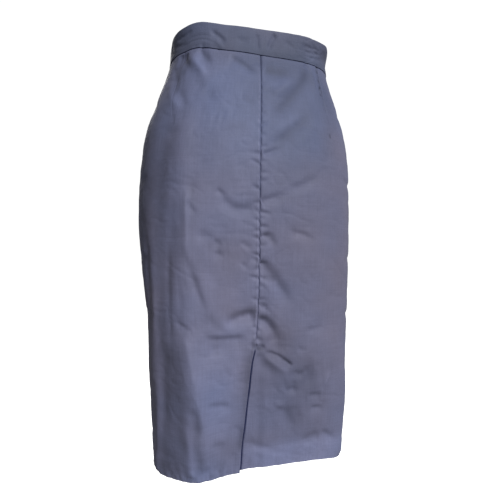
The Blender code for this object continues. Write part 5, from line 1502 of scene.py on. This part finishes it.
def twill_material(name, colour, cool, warm, wale=0.00075, roughness=0.62,
                   sheen=0.35, weave_depth=0.00007):
    """Fine twill: slanted wales, uneven yarn, faint mottling and wear, with painted light,
    shade and highlights from the mesh's attributes.
    """
    n = Nodes(name)
    grain = n.attribute("grain")
    position = n.add("ShaderNodeTexCoord").outputs["Object"]
    # broad, faint changes of tone, as in washed cotton
    broad = n.noise(position, 7.0, 2.0, 0.5)
    patch = n.noise(position, 34.0, 3.0, 0.55)
    drift = n.add("ShaderNodeMapRange")
    n.link(broad, drift.inputs["Value"])
    drift.inputs["From Min"].default_value = 0.36
    drift.inputs["From Max"].default_value = 0.64
    drift.inputs["To Min"].default_value = 0.25
    drift.inputs["To Max"].default_value = 0.75
    # the washes can go as far again past the cool and the warm tone
    coolest = tuple(1.5 * c - 0.5 * w for c, w in zip(cool, warm))
    warmest = tuple(1.5 * w - 0.5 * c for c, w in zip(cool, warm))
    base = n.mix(n.maths("ADD", drift.outputs["Result"],
                         n.maths("MULTIPLY", n.attribute("warmth", "Fac"),
                                 0.5), clamp=True),
                 coolest, warmest)
    tone = n.add("ShaderNodeMapRange")
    n.link(patch, tone.inputs["Value"])
    tone.inputs["From Min"].default_value = 0.25
    tone.inputs["From Max"].default_value = 0.75
    tone.inputs["To Min"].default_value = 0.955
    tone.inputs["To Max"].default_value = 1.045
    # wales slanted up to the right, warped by uneven yarn
    wobble = n.noise(n.scaled(grain, (260.0, 60.0, 1.0)), 1.0, 2.0, 0.6)
    wave = n.add("ShaderNodeTexWave", wave_type="BANDS",
                 bands_direction="X", wave_profile="SIN")
    turned = n.scaled(grain, (1.0, 1.0, 1.0), math.radians(-57.0))
    n.link(turned, wave.inputs["Vector"])
    wave.inputs["Scale"].default_value = 0.31415927 / wale
    wave.inputs["Distortion"].default_value = 0.0
    shift = n.maths("MULTIPLY", wobble, 3.2)
    n.link(shift, wave.inputs["Phase Offset"])
    warp = n.noise(n.scaled(grain, (2600.0, 210.0, 1.0)), 1.0, 2.0, 0.6)
    weft = n.noise(n.scaled(grain, (170.0, 2300.0, 1.0)), 1.0, 2.0, 0.6)
    yarn = n.maths("ADD", n.maths("MULTIPLY", warp, 0.6),
                   n.maths("MULTIPLY", weft, 0.4))
    weave = n.maths("ADD", n.maths("MULTIPLY", wave.outputs["Fac"], 0.62),
                    n.maths("MULTIPLY", yarn, 0.55))
    weave_tone = n.add("ShaderNodeMapRange")
    n.link(weave, weave_tone.inputs["Value"])
    weave_tone.inputs["From Min"].default_value = 0.15
    weave_tone.inputs["From Max"].default_value = 1.0
    weave_tone.inputs["To Min"].default_value = 0.86
    weave_tone.inputs["To Max"].default_value = 1.13
    # pressed edges are worn a little paler; beside the centre back seam it is also the
    # painted highlight of the roll's crest
    wear_and_highlight = n.maths("MULTIPLY", n.attribute("wear_and_highlight", "Fac"),
                   n.maths("MULTIPLY", patch, 0.62), clamp=True)
    base = n.mix(n.maths("MULTIPLY", wear_and_highlight, 0.7), base,
                 tuple(min(c * 1.55 + 0.02, 1.0) for c in colour))
    # deep in a stitched line hardly any light returns
    base = n.mix(n.maths("MULTIPLY", n.attribute("seam", "Fac"), 0.9,
                         clamp=True), base, (0.010, 0.014, 0.056))
    # the inside is the duller back of the twill
    inside = n.attribute("inside", "Fac")
    base = n.mix(n.maths("MULTIPLY", inside, 0.75), base,
                 tuple(c * 0.82 for c in colour))
    scale = n.maths("MULTIPLY", tone.outputs["Result"],
                    weave_tone.outputs["Result"])
    # slubs: thicker lengths of warp and weft yarn show as fine streaks
    for stretch_by in ((760.0, 24.0, 1.0), (20.0, 820.0, 1.0)):
        slub = n.add("ShaderNodeMapRange")
        n.link(n.noise(n.scaled(grain, stretch_by), 1.0, 1.0, 0.5),
               slub.inputs["Value"])
        slub.inputs["From Min"].default_value = 0.3
        slub.inputs["From Max"].default_value = 0.7
        slub.inputs["To Min"].default_value = 0.955
        slub.inputs["To Max"].default_value = 1.045
        scale = n.maths("MULTIPLY", scale, slub.outputs["Result"])
    # painted light and shade, from the tone attribute
    scale = n.maths("MULTIPLY", scale,
                    n.maths("ADD", n.attribute("tone", "Fac"), 1.0))
    combine = n.add("ShaderNodeCombineColor")
    for k in range(3):
        n.link(scale, combine.inputs[k])
    final = n.mix(1.0, base, combine.outputs["Color"], blend="MULTIPLY")
    n.link(final, n.shader.inputs["Base Color"])
    rough = n.add("ShaderNodeMapRange")
    n.link(weave, rough.inputs["Value"])
    rough.inputs["To Min"].default_value = roughness + 0.10
    rough.inputs["To Max"].default_value = roughness - 0.05
    n.link(rough.outputs["Result"], n.shader.inputs["Roughness"])
    fuzz = n.noise(position, 900.0, 2.0, 0.6)
    height = n.maths("ADD", weave, n.maths("MULTIPLY", fuzz, 0.25))
    # crinkles finer than the mesh
    crinkle = n.noise(n.scaled(grain, (150.0, 190.0, 1.0)), 1.0, 3.0, 0.55)
    height = n.maths("ADD", height, n.maths("MULTIPLY", crinkle, 3.0))
    bump = n.add("ShaderNodeBump")
    bump.inputs["Strength"].default_value = 0.7
    bump.inputs["Distance"].default_value = weave_depth
    n.link(height, bump.inputs["Height"])
    n.link(bump.outputs["Normal"], n.shader.inputs["Normal"])
    n.shader.inputs["Specular IOR Level"].default_value = 0.22
    n.shader.inputs["Sheen Weight"].default_value = sheen * 0.25
    n.shader.inputs["Sheen Roughness"].default_value = 0.45
    n.shader.inputs["Sheen Tint"].default_value = (0.86, 0.86, 1.0, 1.0)
    return n.material


def tape_material():
    n = Nodes("zip_tape_weave")
    grain = n.attribute("grain")
    wave = n.add("ShaderNodeTexWave", wave_type="BANDS",
                 bands_direction="Y", wave_profile="SIN")
    n.link(grain, wave.inputs["Vector"])
    wave.inputs["Scale"].default_value = 0.31415927 / 0.0007
    ribs = n.add("ShaderNodeTexWave", wave_type="BANDS",
                 bands_direction="X", wave_profile="SIN")
    n.link(grain, ribs.inputs["Vector"])
    ribs.inputs["Scale"].default_value = 0.31415927 / 0.0011
    both = n.maths("MULTIPLY", wave.outputs["Fac"], ribs.outputs["Fac"])
    colour = n.mix(both, (0.070, 0.078, 0.130), (0.115, 0.126, 0.205))
    n.link(colour, n.shader.inputs["Base Color"])
    n.shader.inputs["Roughness"].default_value = 0.82
    bump = n.add("ShaderNodeBump")
    bump.inputs["Distance"].default_value = 0.00006
    n.link(both, bump.inputs["Height"])
    n.link(bump.outputs["Normal"], n.shader.inputs["Normal"])
    return n.material


def coil_material():
    n = Nodes("zip_coil_nylon")
    position = n.add("ShaderNodeTexCoord").outputs["Object"]
    speck = n.noise(position, 600.0, 2.0, 0.5)
    colour = n.mix(speck, (0.085, 0.095, 0.160), (0.130, 0.142, 0.230))
    n.link(colour, n.shader.inputs["Base Color"])
    n.shader.inputs["Roughness"].default_value = 0.38
    n.shader.inputs["Specular IOR Level"].default_value = 0.5
    return n.material


def enamel_material():
    """Enamelled slider: colour over metal, rubbed bright at places."""
    n = Nodes("zip_enamel")
    position = n.add("ShaderNodeTexCoord").outputs["Object"]
    rub = n.noise(position, 420.0, 4.0, 0.6)
    worn = n.add("ShaderNodeMapRange")
    n.link(rub, worn.inputs["Value"])
    worn.inputs["From Min"].default_value = 0.62
    worn.inputs["From Max"].default_value = 0.72
    colour = n.mix(worn.outputs["Result"], (0.105, 0.115, 0.190),
                   (0.42, 0.43, 0.46))
    n.link(colour, n.shader.inputs["Base Color"])
    n.link(worn.outputs["Result"], n.shader.inputs["Metallic"])
    rough = n.add("ShaderNodeMapRange")
    n.link(rub, rough.inputs["Value"])
    rough.inputs["To Min"].default_value = 0.26
    rough.inputs["To Max"].default_value = 0.42
    n.link(rough.outputs["Result"], n.shader.inputs["Roughness"])
    bump = n.add("ShaderNodeBump")
    bump.inputs["Strength"].default_value = 0.25
    bump.inputs["Distance"].default_value = 0.00005
    n.link(rub, bump.inputs["Height"])
    n.link(bump.outputs["Normal"], n.shader.inputs["Normal"])
    return n.material


# ------------------------------------------------------------------ build
TWILL = (0.142, 0.148, 0.233)
twill = twill_material("twill_cloth", TWILL, (0.133, 0.147, 0.244),
                       (0.149, 0.148, 0.224))
band_twill = twill_material("band_twill_cloth", (0.094, 0.102, 0.160),
                            (0.088, 0.101, 0.164), (0.100, 0.102, 0.153),
                            roughness=0.66, sheen=0.28)

back_left = build_back_left()
back_right = build_back_right()
front = build_front()
waistband = build_waistband()
zip_tapes, zip_coil = build_zip()

for piece in (back_left, back_right, front):
    piece.data.materials.append(twill)
waistband.data.materials.append(band_twill)
zip_tapes.data.materials.append(tape_material())
zip_coil.data.materials.append(coil_material())

for piece in (back_left, back_right, front, waistband, zip_tapes, zip_coil):
    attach(piece, "skirt")
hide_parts("back_left")
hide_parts("back_right")
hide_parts("front")
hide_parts("waistband")
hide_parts("zip_tape")

enamel = enamel_material()
for node in ("zip_slider", "zip_pull"):
    made = bpy.data.objects[node] if node in bpy.data.objects else \
        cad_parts[node]
    if not made.material_slots:
        made.data.materials.append(enamel)
    for slot in made.material_slots:
        slot.material = enamel

# ------------------------------------------------------------------ stage
FLOOR_Z = -1.15
bpy.ops.mesh.primitive_plane_add(size=14.0, location=(0.0, 0.0, FLOOR_Z))
floor = bpy.context.object
floor.name = "studio_floor"
n = Nodes("studio_floor")
n.shader.inputs["Base Color"].default_value = (0.93, 0.93, 0.93, 1.0)
n.shader.inputs["Roughness"].default_value = 0.9
n.shader.inputs["Emission Color"].default_value = (1.0, 1.0, 1.0, 1.0)
n.shader.inputs["Emission Strength"].default_value = 1.0
dim = n.add("ShaderNodeBsdfDiffuse")
dim.inputs["Color"].default_value = (0.30, 0.30, 0.31, 1.0)
seen = n.add("ShaderNodeLightPath")
either = n.add("ShaderNodeMixShader")
n.link(seen.outputs["Is Camera Ray"], either.inputs[0])
n.link(dim.outputs[0], either.inputs[1])
n.link(n.shader.outputs[0], either.inputs[2])
n.link(either.outputs[0], n.tree.nodes["Material Output"].inputs["Surface"])
floor.data.materials.append(n.material)

world = bpy.data.worlds.new("studio")
bpy.context.scene.world = world
world.use_nodes = True
tree = world.node_tree
background = tree.nodes["Background"]
background.inputs["Color"].default_value = (1.0, 0.965, 0.925, 1.0)
background.inputs["Strength"].default_value = 0.185
white = tree.nodes.new("ShaderNodeBackground")
white.inputs["Color"].default_value = (1.0, 1.0, 1.0, 1.0)
white.inputs["Strength"].default_value = 1.05
path = tree.nodes.new("ShaderNodeLightPath")
blend = tree.nodes.new("ShaderNodeMixShader")
tree.links.new(path.outputs["Is Camera Ray"], blend.inputs[0])
tree.links.new(background.outputs[0], blend.inputs[1])
tree.links.new(white.outputs[0], blend.inputs[2])
tree.links.new(blend.outputs[0], tree.nodes["World Output"].inputs["Surface"])


def area_light(name, azimuth, elevation, distance, size, power, colour):
    """Light on a sphere round the skirt; azimuth 0 is straight behind it."""
    a, e = math.radians(azimuth), math.radians(elevation)
    target = Vector((0.0, 0.0, -0.31))
    place = target + distance * Vector((math.sin(a) * math.cos(e),
                                        -math.cos(a) * math.cos(e),
                                        math.sin(e)))
    light = bpy.data.lights.new(name, "AREA")
    light.shape = "DISK"
    light.size = size
    light.energy = power
    light.color = colour
    made = bpy.data.objects.new(name, light)
    made.location = place
    made.rotation_euler = (target - place).to_track_quat(
        "-Z", "Y").to_euler()
    bpy.context.scene.collection.objects.link(made)
    return made


area_light("key", 20.0, 33.0, 5.0, 1.2, 276.0, (0.985, 0.99, 1.0))
area_light("front_fill", 185.0, 35.0, 2.8, 1.6, 34.0, (1.0, 0.99, 0.97))

camera_data = bpy.data.cameras.new("camera")
camera = bpy.data.objects.new("camera", camera_data)
bpy.context.scene.collection.objects.link(camera)
camera_data.sensor_fit = "HORIZONTAL"
camera_data.sensor_width = 36.0
camera_data.lens = 27.66
camera_data.clip_start = 0.05
camera_data.clip_end = 50.0
forward = Vector((0.23598904, 0.97175058, -0.00315904)).normalized()
right = Vector((0.97173789, -0.23596378, 0.00682415)).normalized()
up = right.cross(forward)
turn = Matrix((right, up, -forward)).transposed()
camera.matrix_world = (Matrix.Translation((-0.15023736, -0.66309332,
                                           -0.31357)) @ turn.to_4x4())
bpy.context.scene.camera = camera
bpy.context.scene.view_settings.view_transform = "Standard"
bpy.context.scene.view_settings.look = "None"
